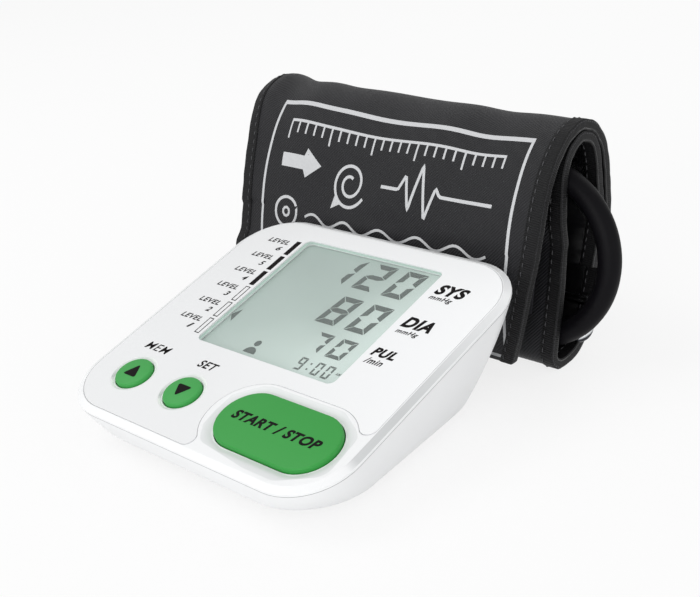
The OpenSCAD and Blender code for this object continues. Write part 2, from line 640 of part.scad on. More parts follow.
// ---- Pump ----
shaft_d = 2;
shaft_gap = 0.05;
can_t = 0.8;
head_t = 1.6;
module along_pump(x) placed() translate([x, motor_y, motor_z]) rotate([0, 90, 0]) children();
module pump_motor() color("#b9bcc2") along_pump(motor_x0) difference() {
    cylinder(h = motor_l, d = motor_d);
    translate([0, 0, can_t]) cylinder(h = motor_l - 2 * can_t, d = motor_d - 2 * can_t);
    translate([0, 0, -cut]) cylinder(h = motor_l + 1, d = shaft_d + 2 * shaft_gap);
}
module pump_rotor() color("#8a5a2c") along_pump(motor_x0) {
    translate([0, 0, 0.2]) cylinder(h = motor_l + 6, d = shaft_d);
    translate([0, 0, 3]) cylinder(h = motor_l - 6, d = motor_d - 2 * can_t - 3);
    // Eccentric that works the diaphragms
    translate([1, 0, motor_l + 1]) cylinder(h = 5, d = 6);
}
module pump_head() color("#e9e6dc") placed() translate([head_x0, motor_y, motor_z]) difference() {
    union() {
        box([touch, -head_half, -head_half], [head_l, head_half, head_half]);
        // Outlet nozzle
        translate([head_l / 2, -head_half + cut, -2]) rotate([90, 0, 0])
            cylinder(h = nozzle + cut, d = tube_bore_d);
    }
    rotate([0, 90, 0]) translate([0, 0, -cut]) cylinder(h = head_l - head_t, d = 11);
}
module pump_foam() color("#55585c") along_pump(motor_x0 + (motor_l - foam_l) / 2) difference() {
    cylinder(h = foam_l, d = foam_d);
    translate([0, 0, -cut]) cylinder(h = foam_l + 1, d = motor_d);
}

// ---- Valve, sensor, sockets and the small tubes between them ----
plunger_d = 4;
module valve_body() color("#34373c") placed() translate([valve_low.x, valve_low.y, inner_floor + 0.02])
    difference() {
        union() {
            cube(valve_size);
            translate([valve_size.x / 2, valve_size.y - cut, valve_size.z / 2])
                rotate([-90, 0, 0]) cylinder(h = nozzle + cut, d = tube_bore_d);
        }
        translate([valve_size.x / 2, -cut, valve_size.z / 2]) rotate([-90, 0, 0])
            cylinder(h = 9.2, d = plunger_d + 2 * shaft_gap);
    }
module valve_plunger() color("#c8cbd0") placed()
    translate([hub.x, valve_low.y - valve_travel - 1, hub.z]) rotate([-90, 0, 0]) {
        cylinder(h = 9, d = plunger_d);
        translate([0, 0, -0.6]) cylinder(h = 0.7, d = 6);
    }
sensor_h = 3.6;
sensor_base = over([hub.x, hub.y - 0.65], board_low_d);
sensor_w = 9;
stub = 2.4;                                  // length of the shortest nozzles
module pressure_sensor() color("#3a3a3e") on_face()
    translate([sensor_base.x, sensor_base.y, -board_low_d - sensor_h]) {
        translate([-sensor_w / 2, -sensor_w / 2, 0]) cube([sensor_w, sensor_w, sensor_h - 0.02]);
        translate([0, 0, -stub]) cylinder(h = stub + cut, d = tube_bore_d);
    }
module air_manifold() color("#d9d9d4") placed() translate([hub.x, hub.y, 0]) {
    translate([0, 0, inner_floor + 0.02]) cylinder(h = hub_top - inner_floor, r = hub_r);
    translate([0, 0, hub_top]) cylinder(h = stub, d = tube_bore_d);
    for (a = [90, 180, 270]) rotate([0, 0, a]) translate([0, 0, hub.z]) rotate([0, 90, 0])
        cylinder(h = hub_r + nozzle, d = tube_bore_d);
}
off_hub = hub_r + 0.1;
sensor_low = from_face([sensor_base.x, sensor_base.y, -board_low_d - sensor_h - 0.1]);
outlet = [head_x0 + head_l / 2, motor_y - head_half - 0.1, motor_z - 2];
tube_paths = [
    [[hub.x - off_hub, hub.y, hub.z], [hub.x - 7.5, hub.y, hub.z + 0.2],
        [hub.x - 11, socket_y, hub.z + 2.4], [hub.x - 14.5, socket_y, socket_z - 0.3],
        [socket_end + 0.1, socket_y, socket_z]],
    [[hub.x, hub.y + off_hub, hub.z], [hub.x + 0.4, hub.y + 6.5, hub.z + 0.5],
        [(hub.x + outlet.x) / 2, (hub.y + outlet.y) / 2 + 1.7, (hub.z + outlet.z) / 2],
        [outlet.x - 0.3, outlet.y - 3.4, outlet.z - 0.3], outlet],
    [[hub.x, hub.y, hub_top + 0.1], [hub.x, hub.y, hub_top + 2.6], sensor_low],
    [[hub.x, hub.y - off_hub, hub.z], [hub.x, valve_low.y + valve_size.y + 0.1, hub.z]]];
module air_tubes() color([0.86, 0.86, 0.84]) placed() for (p = tube_paths)
    swept_tube(p, tube_d, tube_bore_d + 2 * shaft_gap, 8);

module air_socket() color("#2c2d30") placed() translate([socket_tip, socket_y, socket_z])
    rotate([0, 90, 0]) difference() {
        union() {
            cylinder(h = socket_end - socket_tip, d = socket_d);
            translate([0, 0, socket_end - socket_tip - cut]) cylinder(h = 3, d = tube_bore_d);
        }
        translate([0, 0, -cut]) cylinder(h = 10 + cut, d = socket_bore_d);
    }

module power_socket() color("#222326") placed() translate([power_x, power_tip, power_z])
    rotate([90, 0, 0]) {
        difference() {
            cylinder(h = power_l, d = power_d);
            translate([0, 0, -cut]) cylinder(h = 9, d = 5.6);
        }
        translate([0, 0, 1]) cylinder(h = 9, d = 1.3);
    }

module buzzer() color("#1c1c1f") placed() translate([buzzer_at.x, buzzer_at.y, inner_floor + 0.02])
    difference() {
        cylinder(h = 3.6, d = 12);
        translate([0, 0, 2.6]) cylinder(h = 2, d = 2);
    }

// Leads of the motor, up to the board
module lead_wires() color("#b43a34") placed() for (x = [0.9, 2.5])
    translate([motor_x0 + x, motor_y, motor_z + motor_d / 2 + 0.02])
        cylinder(h = plane_z(motor_y, board_low_d) - motor_z - motor_d / 2 - 0.2, d = 1.1);

module case_screws() color("#9a9da3") placed() for (p = case_posts)
    translate([p.x, p.y, screw_seat(p) - 0.02]) {
        translate([0, 0, -screw_head_h]) cylinder(h = screw_head_h, d = screw_head_d);
        cylinder(h = post_joint(p) - screw_seat(p) + screw_grip, d = screw_hole_d - 0.1);
    }
module board_screws() color("#a6a9af") on_face() for (p = board_posts)
    translate([p.x, p.y, -board_low_d - 1.3]) {
        cylinder(h = 1.28, d = 4.2);
        cylinder(h = board_t + 4.6, d = screw_hole_d - 0.1);
    }
module rubber_feet() color("#3a3b3e") placed() for (p = foot_places) translate([p.x, p.y, 0])
    rotate_extrude() polygon([[0, 0], [foot_d / 2 - 0.6, 0], [foot_d / 2, 0.6],
        [foot_d / 2, foot_h + 0.5], [0, foot_h + 0.5]]);

// ================= The cuff =================
function line_side(i) = let(v = unit(roll_line[min(i + 1, band_end)] - roll_line[max(i - 1, 0)]))
    [-v.y, v.x];
// Place of the cuff's left (0) or right (1) edge: the flap runs in towards its free end
taper_n = 7;
function edge_x(side, i) = side == 0 ? cuff_left
    : cuff_right - flap_taper * pow(max(0, 1 - i / taper_n), 2);
// Closed strip along the roll. Each corner of its section is [edge, distance to the
// right of it, distance outwards from the middle line]; it lies flat on the table
module along_roll(section, first, last, caps = [[0, 1, 2, 3]]) {
    n = len(section);
    points = [for (i = [first:last]) for (q = section) let(p = roll_line[i] + line_side(i) * q[2])
        [edge_x(q[0], i) + q[1], p.x, max(p.y, q[2] > cuff_t / 2 + 0.01 ? 0 : binding_t)]];
    end = (last - first) * n;
    skin = [for (k = [0:last - first - 1]) for (i = [0:n - 1]) let(
        a = k * n + i, b = k * n + (i + 1) % n) each [[a, a + n, b], [b, a + n, b + n]]];
    polyhedron(points, concat(caps, skin, [for (c = caps) [for (k = [len(c) - 1:-1:0]) c[k] + end]]),
        convexity = 8);
}
// Flat strip between two distances from the middle line, in by a from both edges
module layer(d0, d1, a, first, last)
    along_roll([[0, a, d0], [0, a, d1], [1, -a, d1], [1, -a, d0]], first, last);
module cuff_cover() color("#33343a") placed() layer(bladder_t / 2, cuff_t / 2, 0, 0, band_end);
module cuff_lining() color("#1d1d21") placed() layer(-cuff_t / 2, -bladder_t / 2, 0, 0, band_end);
bladder_in = 8;                              // edge of the cuff beside the bladder
bladder_run = [20, 56];                      // its first and last step along the roll
module air_bladder() color("#5a5148") placed()
    layer(-bladder_t / 2, bladder_t / 2, bladder_in, bladder_run[0], bladder_run[1]);
// Tape folded round an edge
function tape(side) = let(s = side == 0 ? -1 : 1, a = cuff_t / 2, b = a + binding_t,
        in = -s * binding_w, out = s * binding_t,
        ring = [[side, in, b], [side, out, b], [side, out, -b], [side, in, -b],
            [side, in, -a], [side, 0, -a], [side, 0, a], [side, in, a]])
    side == 0 ? [for (i = [7:-1:0]) ring[i]] : ring;
module edge_binding() color("#2a2a2e") placed() for (side = [0, 1])
    along_roll(tape(side), 0, band_end, [[0, 1, 6, 7], [1, 2, 5, 6], [2, 3, 4, 5]]);
patch_t = 0.6;
hook_in = 16;                                // edge of the cuff beside each patch
loop_in = 10;
hook_run = [1, 6];                           // first and last step of each along the roll
loop_run = [40, 46];
module hook_patch() color("#2f3036") placed()
    layer(-cuff_t / 2 - patch_t, -cuff_t / 2, hook_in, hook_run[0], hook_run[1]);
module loop_patch() color("#26262b") placed()
    layer(cuff_t / 2, cuff_t / 2 + patch_t, loop_in, loop_run[0], loop_run[1]);

// ---- Metal ring on its strap ----
ring_at = [72.5, 18.8];                      // the upper bar's place, seen from the end
ring_lean = 27;                              // how far the ring leans to the front at rest
ring_x0 = cuff_left + 14;
ring_bend = 4;
strap_gap = 0.3;
strap_r = ring_wire_d / 2 + strap_gap;
strap_x0 = ring_x0 + 12;
strap_x1 = cuff_right - 12;
module metal_ring() color("#c9ccd2") placed() translate([0, ring_at[0], ring_at[1]])
    rotate([90 - ring_lean, 0, 0]) {
        l = ring_x1 - ring_x0 - ring_wire_d;
        cx = (ring_x0 + ring_x1) / 2;
        for (y = [0, -ring_h]) translate([cx, y, 0]) rotate([0, 90, 0])
            cylinder(h = l - 2 * ring_bend, d = ring_wire_d, center = true);
        for (s = [-1, 1]) {
            translate([cx + s * l / 2, -ring_h / 2, 0]) rotate([90, 0, 0])
                cylinder(h = ring_h - 2 * ring_bend, d = ring_wire_d, center = true);
            for (u = [0, 1])
                translate([cx + s * (l / 2 - ring_bend), u ? -ring_bend : ring_bend - ring_h, 0])
                rotate([0, 0, s > 0 ? (u ? 0 : -90) : (u ? 90 : 180)])
                rotate_extrude(angle = 90) translate([ring_bend, 0]) circle(d = ring_wire_d);
        }
    }
strap_t = 0.8;
strap_tip = roll[len(roll) - 1] - ring_at;
strap_dir = unit(strap_tip);
strap_out = [strap_dir.y, -strap_dir.x] * strap_t;
module ring_strap() color("#26262a") placed()
    translate([strap_x0, ring_at[0], ring_at[1]]) rotate([90, 0, 90]) difference() {
        linear_extrude(strap_x1 - strap_x0) union() {
            circle(r = strap_r + strap_t);
            // Tail of the loop, up to the cuff's inner end
            polygon([strap_dir * strap_r + strap_out, strap_tip + strap_out * 1.5,
                strap_tip - strap_out * 1.5, strap_dir * strap_r - strap_out]);
        }
        translate([0, 0, -cut]) cylinder(h = strap_x1 - strap_x0 + 1, r = strap_r);
    }

// ---- Air hose ----
// Route of the hose: out of its port along the top, round at the right end, back along
// the bottom, round inside the left end and along the top again to the plug
hose_route = [[-66, 67.8, 66], [-48, 67.8, 66], [-30, 67.8, 66], [-12, 67.8, 66], [6, 67.8, 66],
    [23, 67.8, 66], [40, 67.8, 66], [51, 67.6, 63.8], [60.5, 67, 57.5], [66.8, 66, 48],
    [69, 64.6, 37], [66.8, 63, 26], [60.5, 61.4, 16.5], [51, 60.2, 10.2], [40, 59.4, 8],
    [22, 59.2, 8], [4, 59.2, 8], [-14, 59.2, 8], [-31, 59.2, 8], [-47, 59.4, 8],
    [-58, 60.2, 10.2], [-67.5, 61.8, 16.5], [-73.8, 64, 26], [-76, 67, 37], [-73.8, 70.4, 48],
    [-67.5, 73.6, 57.5], [-58, 76, 63.2], [-47, 77.1, 65], [-29, 77.2, 65], [-11, 77.2, 65],
    [8, 77.2, 65]];
hose_sides = 10;
module air_hose() color("#1b1b20") placed() swept_tube(hose_route, hose_d, hose_bore_d, hose_sides);

port_len = 13;
module hose_port() color("#222227") placed() translate(hose_route[0]) {
    // Nozzle inside the hose, body, and the foot welded to the lining
    rotate([0, 90, 0]) translate([0, 0, -cut]) cylinder(h = 5, d = hose_bore_d - 4 * shaft_gap);
    rotate([0, -90, 0]) cylinder(h = port_len, d = hose_d - 0.4);
    box([-port_len, -4.4, -5], [-0.5, -1, 2.5]);
}
hose_tip = hose_route[len(hose_route) - 1];
seal_at = 3;
seal_w = 1;
nozzle_d = socket_bore_d - 0.3;
seal_in = socket_bore_d + 0.1 - 2 * seal_w;  // floor of the seal's groove
module air_plug() color("#9ea1a6") placed() translate(hose_tip) rotate([0, 90, 0]) {
    cylinder(h = plug_l, d = plug_d - 1);
    for (i = [0:3]) translate([0, 0, 1 + i * 4.4]) cylinder(h = 2.6, d = plug_d);
    translate([0, 0, plug_l - cut]) difference() {
        cylinder(h = nozzle_l, d = nozzle_d);
        translate([0, 0, seal_at]) difference() {
            cylinder(h = seal_w, d = nozzle_d + 1);
            translate([0, 0, -cut]) cylinder(h = seal_w + 1, d = seal_in);
        }
    }
}
module plug_seal() color("#111114") placed()
    translate(hose_tip + [plug_l - cut + seal_at + seal_w / 2, 0, 0]) rotate([0, 90, 0])
        rotate_extrude() translate([(seal_in + seal_w) / 2, 0]) circle(d = seal_w - 0.04);

top_shell();
face_panel();
display_lens();
display_glass();
display_holder();
contact_strips();
main_board();
controller_chip();
key_switches();
mem_button();
set_button();
start_button();
pump_motor();
pump_head();
pump_rotor();
pump_foam();
valve_body();
valve_plunger();
pressure_sensor();
air_manifold();
air_tubes();
air_socket();
power_socket();
buzzer();
bottom_shell();
battery_door();
battery_cells();
spring_contacts();
plate_contacts();
lead_wires();
case_screws();
board_screws();
rubber_feet();
cuff_cover();
cuff_lining();
air_bladder();
edge_binding();
hook_patch();
loop_patch();
ring_strap();
metal_ring();
hose_port();
air_hose();
air_plug();
plug_seal();
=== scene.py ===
# %% [markdown]
# # A desk blood pressure monitor and its rolled arm cuff
# This file dresses a CAD model in Blender. The CAD solids give every size; here each visible
# piece gets its final surface and finish. Every length is worked out in millimetres, in the
# unit's own frame (origin on the table below the display), and turned into metres at the end.
# %% Load the frame
import bmesh
import bpy
import numpy as np
from mathutils import Matrix


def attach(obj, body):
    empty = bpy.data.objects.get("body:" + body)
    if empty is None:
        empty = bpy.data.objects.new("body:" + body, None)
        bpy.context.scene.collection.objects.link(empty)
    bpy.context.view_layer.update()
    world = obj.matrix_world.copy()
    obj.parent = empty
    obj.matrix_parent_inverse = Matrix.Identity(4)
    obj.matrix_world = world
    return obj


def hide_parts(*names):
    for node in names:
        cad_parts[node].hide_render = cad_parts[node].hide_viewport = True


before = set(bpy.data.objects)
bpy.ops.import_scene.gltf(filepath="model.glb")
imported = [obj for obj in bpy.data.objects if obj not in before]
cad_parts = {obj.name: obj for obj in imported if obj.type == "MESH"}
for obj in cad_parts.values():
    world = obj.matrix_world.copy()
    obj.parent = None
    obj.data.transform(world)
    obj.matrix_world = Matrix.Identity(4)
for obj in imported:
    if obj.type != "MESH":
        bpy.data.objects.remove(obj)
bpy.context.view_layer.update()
SHIFT = np.array([13.2, -11.429, 0.0])    # from the display's centre line to the row's origin


# %% [markdown]
# ## Places
# The face of the unit is a sloped plane. Points on it are easiest to think of as x to the
# right, y up the face and w above the face, so one function turns those into the upright frame.
# %% Two frames and one unit
TILT = np.radians(15.0)
DISPLAY_Z = 33.5


def row(points):
    """Points in mm in the standing frame, moved to the row's origin and given in metres."""
    return (np.asarray(points, float) + SHIFT) * 0.001


def off_face(points):
    """Face points (x, y up the slope, w above it) in the standing frame: a turn about X by
    the slope, then a lift by the display's height."""
    x, y, w = np.moveaxis(np.asarray(points, float), -1, 0)
    c, s = np.cos(TILT), np.sin(TILT)
    return np.stack([x, y * c - w * s, DISPLAY_Z + y * s + w * c], -1)


# %% [markdown]
# ## Camera
# The camera was fitted to the photograph: a short telephoto view from the front right, looking
# down. Three unit vectors, right, up and back, are the columns of its rotation.
# %% Camera
camera = bpy.data.cameras.new("camera")
camera.sensor_width, camera.lens = 36.0, 59.22
camera.clip_start, camera.clip_end = 0.01, 20.0
eye = bpy.data.objects.new("camera", camera)
right, up, back = (0.73686, 0.66845, -0.10108), (-0.20329, 0.36168, 0.90987), (0.64476, -0.64989, 0.4024)
turn = Matrix([right, up, back]).transposed().to_4x4()
eye.matrix_world = Matrix.Translation(row([248.3, -235.6, 185.2])) @ turn
bpy.context.scene.collection.objects.link(eye)
bpy.context.scene.camera = eye
bpy.context.scene.view_settings.view_transform = "Standard"
print("camera at", [round(v, 4) for v in eye.location])


# %% [markdown]
# ## Surfaces from arrays
# A swept or draped surface is a grid of points. Making the grid with numpy and handing it to
# the mesh in one go is fast and keeps the shape readable as a formula.
# %% Grid to mesh
def link(mesh, name, material=None, smooth=True):
    """A mesh as an object at the origin, with one material and smooth faces."""
    obj = bpy.data.objects.new(name, mesh)
    bpy.context.scene.collection.objects.link(obj)
    if material:
        mesh.materials.append(material)
    mesh.polygons.foreach_set("use_smooth", np.full(len(mesh.polygons), smooth))
    return obj


def grid(name, points, uv=None, closed=False, caps=False, material=None):
    """Points (rows, columns, 3) in mm become quads. closed joins the last column to the
    first, and caps closes the first and last row with one polygon each."""
    m, n = points.shape[:2]
    a = np.arange(m - 1)[:, None] * n
    j = np.arange(n if closed else n - 1)
    k = (j + 1) % n
    quads = np.stack([a + j, a + k, a + n + k, a + n + j], -1).reshape(-1, 4)
    faces = quads.tolist()
    if caps:
        faces += [list(range(n))[::-1], (np.arange(n) + (m - 1) * n).tolist()]
    mesh = bpy.data.meshes.new(name)
    mesh.from_pydata(row(points).reshape(-1, 3), [], faces)
    if uv is not None:
        layer = mesh.uv_layers.new(name="cloth")
        loops = np.empty(len(mesh.loops), int)
        mesh.loops.foreach_get("vertex_index", loops)
        layer.data.foreach_set("uv", (uv.reshape(-1, 2)[loops] * 0.001).ravel())
    return link(mesh, name, material)


def outward(obj):
    """Faces recalculated to point out, for a closed piece."""
    work = bmesh.new()
    work.from_mesh(obj.data)
    bmesh.ops.recalc_face_normals(work, faces=work.faces)
    work.to_mesh(obj.data)
    work.free()
    return obj


# %% [markdown]
# ## Smooth paths
# The CAD route of the hose and the CAD roll of the cuff are short lists of points. A cubic
# through each four neighbours gives a curve that keeps to the points and has no corners.
# %% Cubic through points
def through(points, steps):
    """Catmull-Rom: between neighbours b and c the curve leaves b along c - a and reaches c
    along d - b, with steps samples a span."""
    p = np.asarray(points, float)
    p = np.vstack([2 * p[0] - p[1], p, 2 * p[-1] - p[-2]])
    a, b, c, d = (p[k:len(p) - 3 + k, None, :] for k in range(4))
    t = (np.arange(steps) / steps)[None, :, None]
    curve = b + t * (c - a) / 2 + t**2 * (a - 2.5 * b + 2 * c - d / 2) \
        + t**3 * (1.5 * (b - c) + (d - a) / 2)
    return np.vstack([curve.reshape(-1, p.shape[1]), p[-2]])


def along(line):
    """Distance along a line at each of its points."""
    return np.concatenate([[0], np.cumsum(np.linalg.norm(np.diff(line, axis=0), axis=1))])


def unit(v):
    """Vectors brought to length one."""
    return v / np.linalg.norm(v, axis=-1, keepdims=True)


# %% [markdown]
# ## Shader arithmetic
# Node trees read better as formulas. Num wraps a number socket so that +, -, * and / add Math
# nodes; Finish adds any other node by type and makes the shader at the end.
# %% Num and Finish
class Num:
    """A number in a node tree."""

    def __init__(self, tree, socket):
        self.tree, self.socket = tree, socket

    def math(self, operation, *others, swap=False):
        """A Math node on this number and others, in the other order with swap."""
        made = self.tree.nodes.new("ShaderNodeMath")
        made.operation = operation
        values = (self,) + others
        for value, socket in zip(values[::-1] if swap else values, made.inputs):
            plug(self.tree, value, socket)
        return Num(self.tree, made.outputs[0])

    def __add__(self, other): return self.math("ADD", other)
    def __radd__(self, other): return self.math("ADD", other, swap=True)
    def __sub__(self, other): return self.math("SUBTRACT", other)
    def __rsub__(self, other): return self.math("SUBTRACT", other, swap=True)
    def __mul__(self, other): return self.math("MULTIPLY", other)
    def __rmul__(self, other): return self.math("MULTIPLY", other, swap=True)
    def __truediv__(self, other): return self.math("DIVIDE", other)
    def sin(self): return self.math("SINE")
    def abs(self): return self.math("ABSOLUTE")
    def clamp(self): return self.math("MINIMUM", 1.0).math("MAXIMUM", 0.0)


def plug(tree, value, socket):
    """A link if value is a Num or a socket, else the socket's own value."""
    if isinstance(value, Num):
        tree.links.new(value.socket, socket)
    elif isinstance(value, bpy.types.NodeSocket):
        tree.links.new(value, socket)
    else:
        socket.default_value = value


class Finish:
    """A material: nodes are added by type, and shade() sets the surface."""

    def __init__(self, name):
        self.material = bpy.data.materials.new(name)
        self.material.use_nodes = True
        self.tree = self.material.node_tree
        self.shader = self.tree.nodes["Principled BSDF"]

    def node(self, kind, settings=None, values=None, out=0):
        """A node by type: settings first, then the values or links of its sockets."""
        made = self.tree.nodes.new("ShaderNode" + kind)
        for key, value in (settings or {}).items():
            if key == "stops":
                ramp = made.color_ramp
                while len(ramp.elements) < len(value):
                    ramp.elements.new(0.5)
                for element, (place, shade) in zip(ramp.elements, value):
                    element.position, element.color = place, shade
            else:
                setattr(made, key, value)
        for key, value in (values or {}).items():
            plug(self.tree, value, made.inputs[key])
        socket = made.outputs[out]
        return Num(self.tree, socket) if socket.type == "VALUE" else socket

    def place(self, uv=False):
        """Coordinates in metres: the piece's own, or its cloth map."""
        return self.node("TexCoord", out="UV" if uv else "Object")

    def parts(self, vector):
        """The three numbers of a vector."""
        made = self.node("SeparateXYZ", values={"Vector": vector})
        return [Num(self.tree, socket) for socket in made.socket.node.outputs]

    def noise(self, size, detail=2.0, rough=0.5, uv=False, stretch=(1, 1, 1)):
        """Noise whose grains are about size metres across, 0 to 1."""
        where = self.node("Mapping", values={"Vector": self.place(uv=uv), "Scale": stretch})
        return self.node("TexNoise", values={"Vector": where, "Scale": 1 / size, "Detail": detail,
                                             "Roughness": rough})

    def mix(self, amount, first, second):
        """Colour between two, by amount."""
        made = self.tree.nodes.new("ShaderNodeMix")
        made.data_type = "RGBA"
        for key, value in ((0, amount), (6, first), (7, second)):
            plug(self.tree, value, made.inputs[key])
        return made.outputs[2]

    def bump(self, height, depth):
        """A normal from a height of 0 to 1 that is depth metres deep."""
        return self.node("Bump", values={"Height": height, "Distance": depth, "Strength": 1.0})

    def shade(self, **sockets):
        """Values or links for the shader's sockets, named with _ for a space."""
        for key, value in sockets.items():
            plug(self.tree, value, self.shader.inputs[key.replace("_", " ")])
        return self.material


def ink(r, g, b):
    """A screen colour of 0 to 255 as linear light."""
    c = np.array([r, g, b]) / 255.0
    return (*np.where(c <= 0.04045, c / 12.92, ((c + 0.055) / 1.055) ** 2.4), 1.0)


# %% [markdown]
# ## The hose comes first
# The air hose leaves its port on the lining, runs along the top of the roll, makes one tall
# loop out of the right end and goes back in along the bottom. Inside the left end it turns
# up, and its plug lies in the roll. Its route is the CAD's route.
# A tube is a circle carried along the path; a fixed side direction keeps it free of twist.
# %% Hose rubber
def hose_rubber():
    """Black rubber with a dull skin."""
    f = Finish("hose_rubber")
    grain = f.noise(0.0012, 3)
    return f.shade(Base_Color=f.mix(grain, ink(8, 7, 10), ink(14, 13, 17)), Specular_IOR_Level=0.1,
                   Roughness=0.42 + 0.12 * grain, Normal=f.bump(f.noise(0.004, 2), 0.00004))


# %% Tube along a path
def tube(name, path, radius, sides=20, ring=(0, 1, 0), material=None):
    """Circles of the given radius square to the path; the side of each is ring made square
    to the path. path and radius have one entry a circle."""
    ahead = unit(np.gradient(path, axis=0))
    side = np.broadcast_to(np.asarray(ring, float), ahead.shape)
    side = unit(side - (side * ahead).sum(1, keepdims=True) * ahead)
    over = np.cross(ahead, side)
    a = np.linspace(0, 2 * np.pi, sides, endpoint=False)[None, :, None]
    r = np.broadcast_to(radius, len(path))[:, None, None]
    rings = path[:, None] + r * (np.cos(a) * side[:, None] + np.sin(a) * over[:, None])
    return outward(grid(name, rings, closed=True, caps=True, material=material))


route = [[-66, 67.8, 66], [-48, 67.8, 66], [-30, 67.8, 66], [-12, 67.8, 66], [6, 67.8, 66],
         [23, 67.8, 66], [40, 67.8, 66], [51, 67.6, 63.8], [60.5, 67, 57.5], [66.8, 66, 48],
         [69, 64.6, 37], [66.8, 63, 26], [60.5, 61.4, 16.5], [51, 60.2, 10.2], [40, 59.4, 8],
         [22, 59.2, 8], [4, 59.2, 8], [-14, 59.2, 8], [-31, 59.2, 8], [-47, 59.4, 8],
         [-58, 60.2, 10.2], [-67.5, 61.8, 16.5], [-73.8, 64, 26], [-76, 67, 37],
         [-73.8, 70.4, 48], [-67.5, 73.6, 57.5], [-58, 76, 63.2], [-47, 77.1, 65],
         [-29, 77.2, 65], [-11, 77.2, 65], [8, 77.2, 65]]
hose_line = through(route, 6)
hose = tube("hose", hose_line, 3.9, material=hose_rubber())
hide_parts("air_hose")
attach(hose, "cuff")


# %% [markdown]
# ## Floor and light
# A product shot: white table, white surroundings and soft lamps. The floor is lit for its
# shadow, and for the camera it is lifted towards white, as the surroundings are.
# %% Floor
def floor_white():
    """White paint that rays from the camera see four fifths as light, so it meets the sky."""
    f = Finish("floor_white")
    path = f.tree.nodes.new("ShaderNodeLightPath")
    camera_ray, glossy_ray, clear_ray = (
        Num(f.tree, path.outputs[f"Is {kind} Ray"]) for kind in ("Camera", "Glossy", "Transmission"))
    seen = camera_ray.math("MAXIMUM", glossy_ray).math("MAXIMUM", clear_ray)
    f.shade(Base_Color=(0.9, 0.9, 0.9, 1), Roughness=0.9, Specular_IOR_Level=0.0)
    white = f.tree.nodes.new("ShaderNodeEmission")
    white.inputs[0].default_value = (1, 1, 1, 1)
    white.inputs[1].default_value = 1.0
    both = f.tree.nodes.new("ShaderNodeMixShader")
    plug(f.tree, 0.8 * seen, both.inputs[0])
    f.tree.links.new(f.shader.outputs[0], both.inputs[1])
    f.tree.links.new(white.outputs[0], both.inputs[2])
    f.tree.links.new(both.outputs[0], f.tree.nodes["Material Output"].inputs[0])
    return f.material


table_top = bpy.data.meshes.new("floor")
table_top.from_pydata([(3 * x, 3 * y, -0.0001) for x, y in ((-1, -1), (1, -1), (1, 1), (-1, 1))],
                      [], [(0, 1, 2, 3)])
link(table_top, "floor", floor_white(), smooth=False)

# %% World and lamps
world = bpy.data.worlds.new("world")
bpy.context.scene.world = world
world.use_nodes = True
sky = world.node_tree.nodes["Background"]
sight = world.node_tree.nodes.new("ShaderNodeLightPath")
seen = Num(world.node_tree, sight.outputs["Is Camera Ray"])
seen = seen.math("MAXIMUM", Num(world.node_tree, sight.outputs["Is Transmission Ray"]))
sky.inputs[0].default_value = (1, 1, 1, 1)
plug(world.node_tree, 0.68 + 0.32 * seen, sky.inputs[1])


def lamp(name, place, aim, size, power):
    """A square soft lamp at place, in metres, that faces aim."""
    data = bpy.data.lights.new(name, "AREA")
    data.size, data.energy = size, power
    obj = bpy.data.objects.new(name, data)
    bpy.context.scene.collection.objects.link(obj)
    away = unit(np.asarray(place, float) - np.asarray(aim, float))
    side = unit(np.cross((0, 0, 1), away))
    obj.matrix_world = Matrix.Translation(place) @ Matrix(
        [side, np.cross(away, side), away]).transposed().to_4x4()


for known in (("key", (-0.5, -0.3, 1.0), (0, 0, 0.03), 0.7, 3.0),
              ("front", (0.35, -1.1, 0.22), (0.01, -0.05, 0.02), 0.8, 5.0),
              ("right", (1.1, -0.1, 0.3), (0, 0, 0.03), 0.8, 1.3),
              ("rear", (0.1, 0.9, 0.8), (0, 0, 0.05), 0.7, 1.2)):
    lamp(*known)
print("lamps:", len(bpy.data.lights))


# %% [markdown]
# ## Moulded parts
# The CAD solids of the case have the right shape but come as loose flat triangles. A copy has
# its doubles merged and its flat areas joined. Then sharp edges get the narrow rounding that
# a mould leaves, and everything else is shaded smooth.
# %% Copies of moulded parts
def moulded(node, body, material, edge=0.2, angle=32):
    """A merged copy of a CAD node, with edges sharper than angle degrees rounded by edge mm."""
    work = bmesh.new()
    work.from_mesh(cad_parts[node].data)
    bmesh.ops.remove_doubles(work, verts=work.verts, dist=2e-6)
    bmesh.ops.dissolve_limit(work, angle_limit=np.radians(0.4), verts=work.verts, edges=work.edges)
    mesh = bpy.data.meshes.new(node + "_skin")
    work.to_mesh(mesh)
    work.free()
    obj = link(mesh, node + "_skin", material)
    mesh.set_sharp_from_angle(angle=np.radians(angle))
    if edge:
        rounding = obj.modifiers.new("rounding", "BEVEL")
        rounding.width, rounding.segments = edge * 0.001, 2
        rounding.limit_method, rounding.angle_limit = "ANGLE", np.radians(angle)
        rounding.harden_normals = True
    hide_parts(node)
    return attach(obj, body)


# %% [markdown]
# ## Plastics of the unit
# The shells are white ABS with a low gloss and a very fine spark-eroded grain; the bevel is
# polished, and its colour carries a painted reflection of the room. The sloped sides of the
# start key's bay carry painted shade. The face film is matt. The keys are green, with a slightly
# softer skin. White must stay a little below full white, so that its shading shows.
# %% White, film, green and grey plastics
def plastic(name, base, rough, grain=0.00035, depth=0.000006, tint=None):
    """Moulded plastic: a fine grain in the gloss and the normal, and a faint cloudiness."""
    f = Finish(name)
    fine, cloud = f.noise(grain, 2), f.noise(0.03, 2)
    return f.shade(Base_Color=f.mix(cloud, base, tint or base), Roughness=rough + 0.08 * fine + 0.04 * cloud,
                   Normal=f.bump(fine, depth), IOR=1.5)


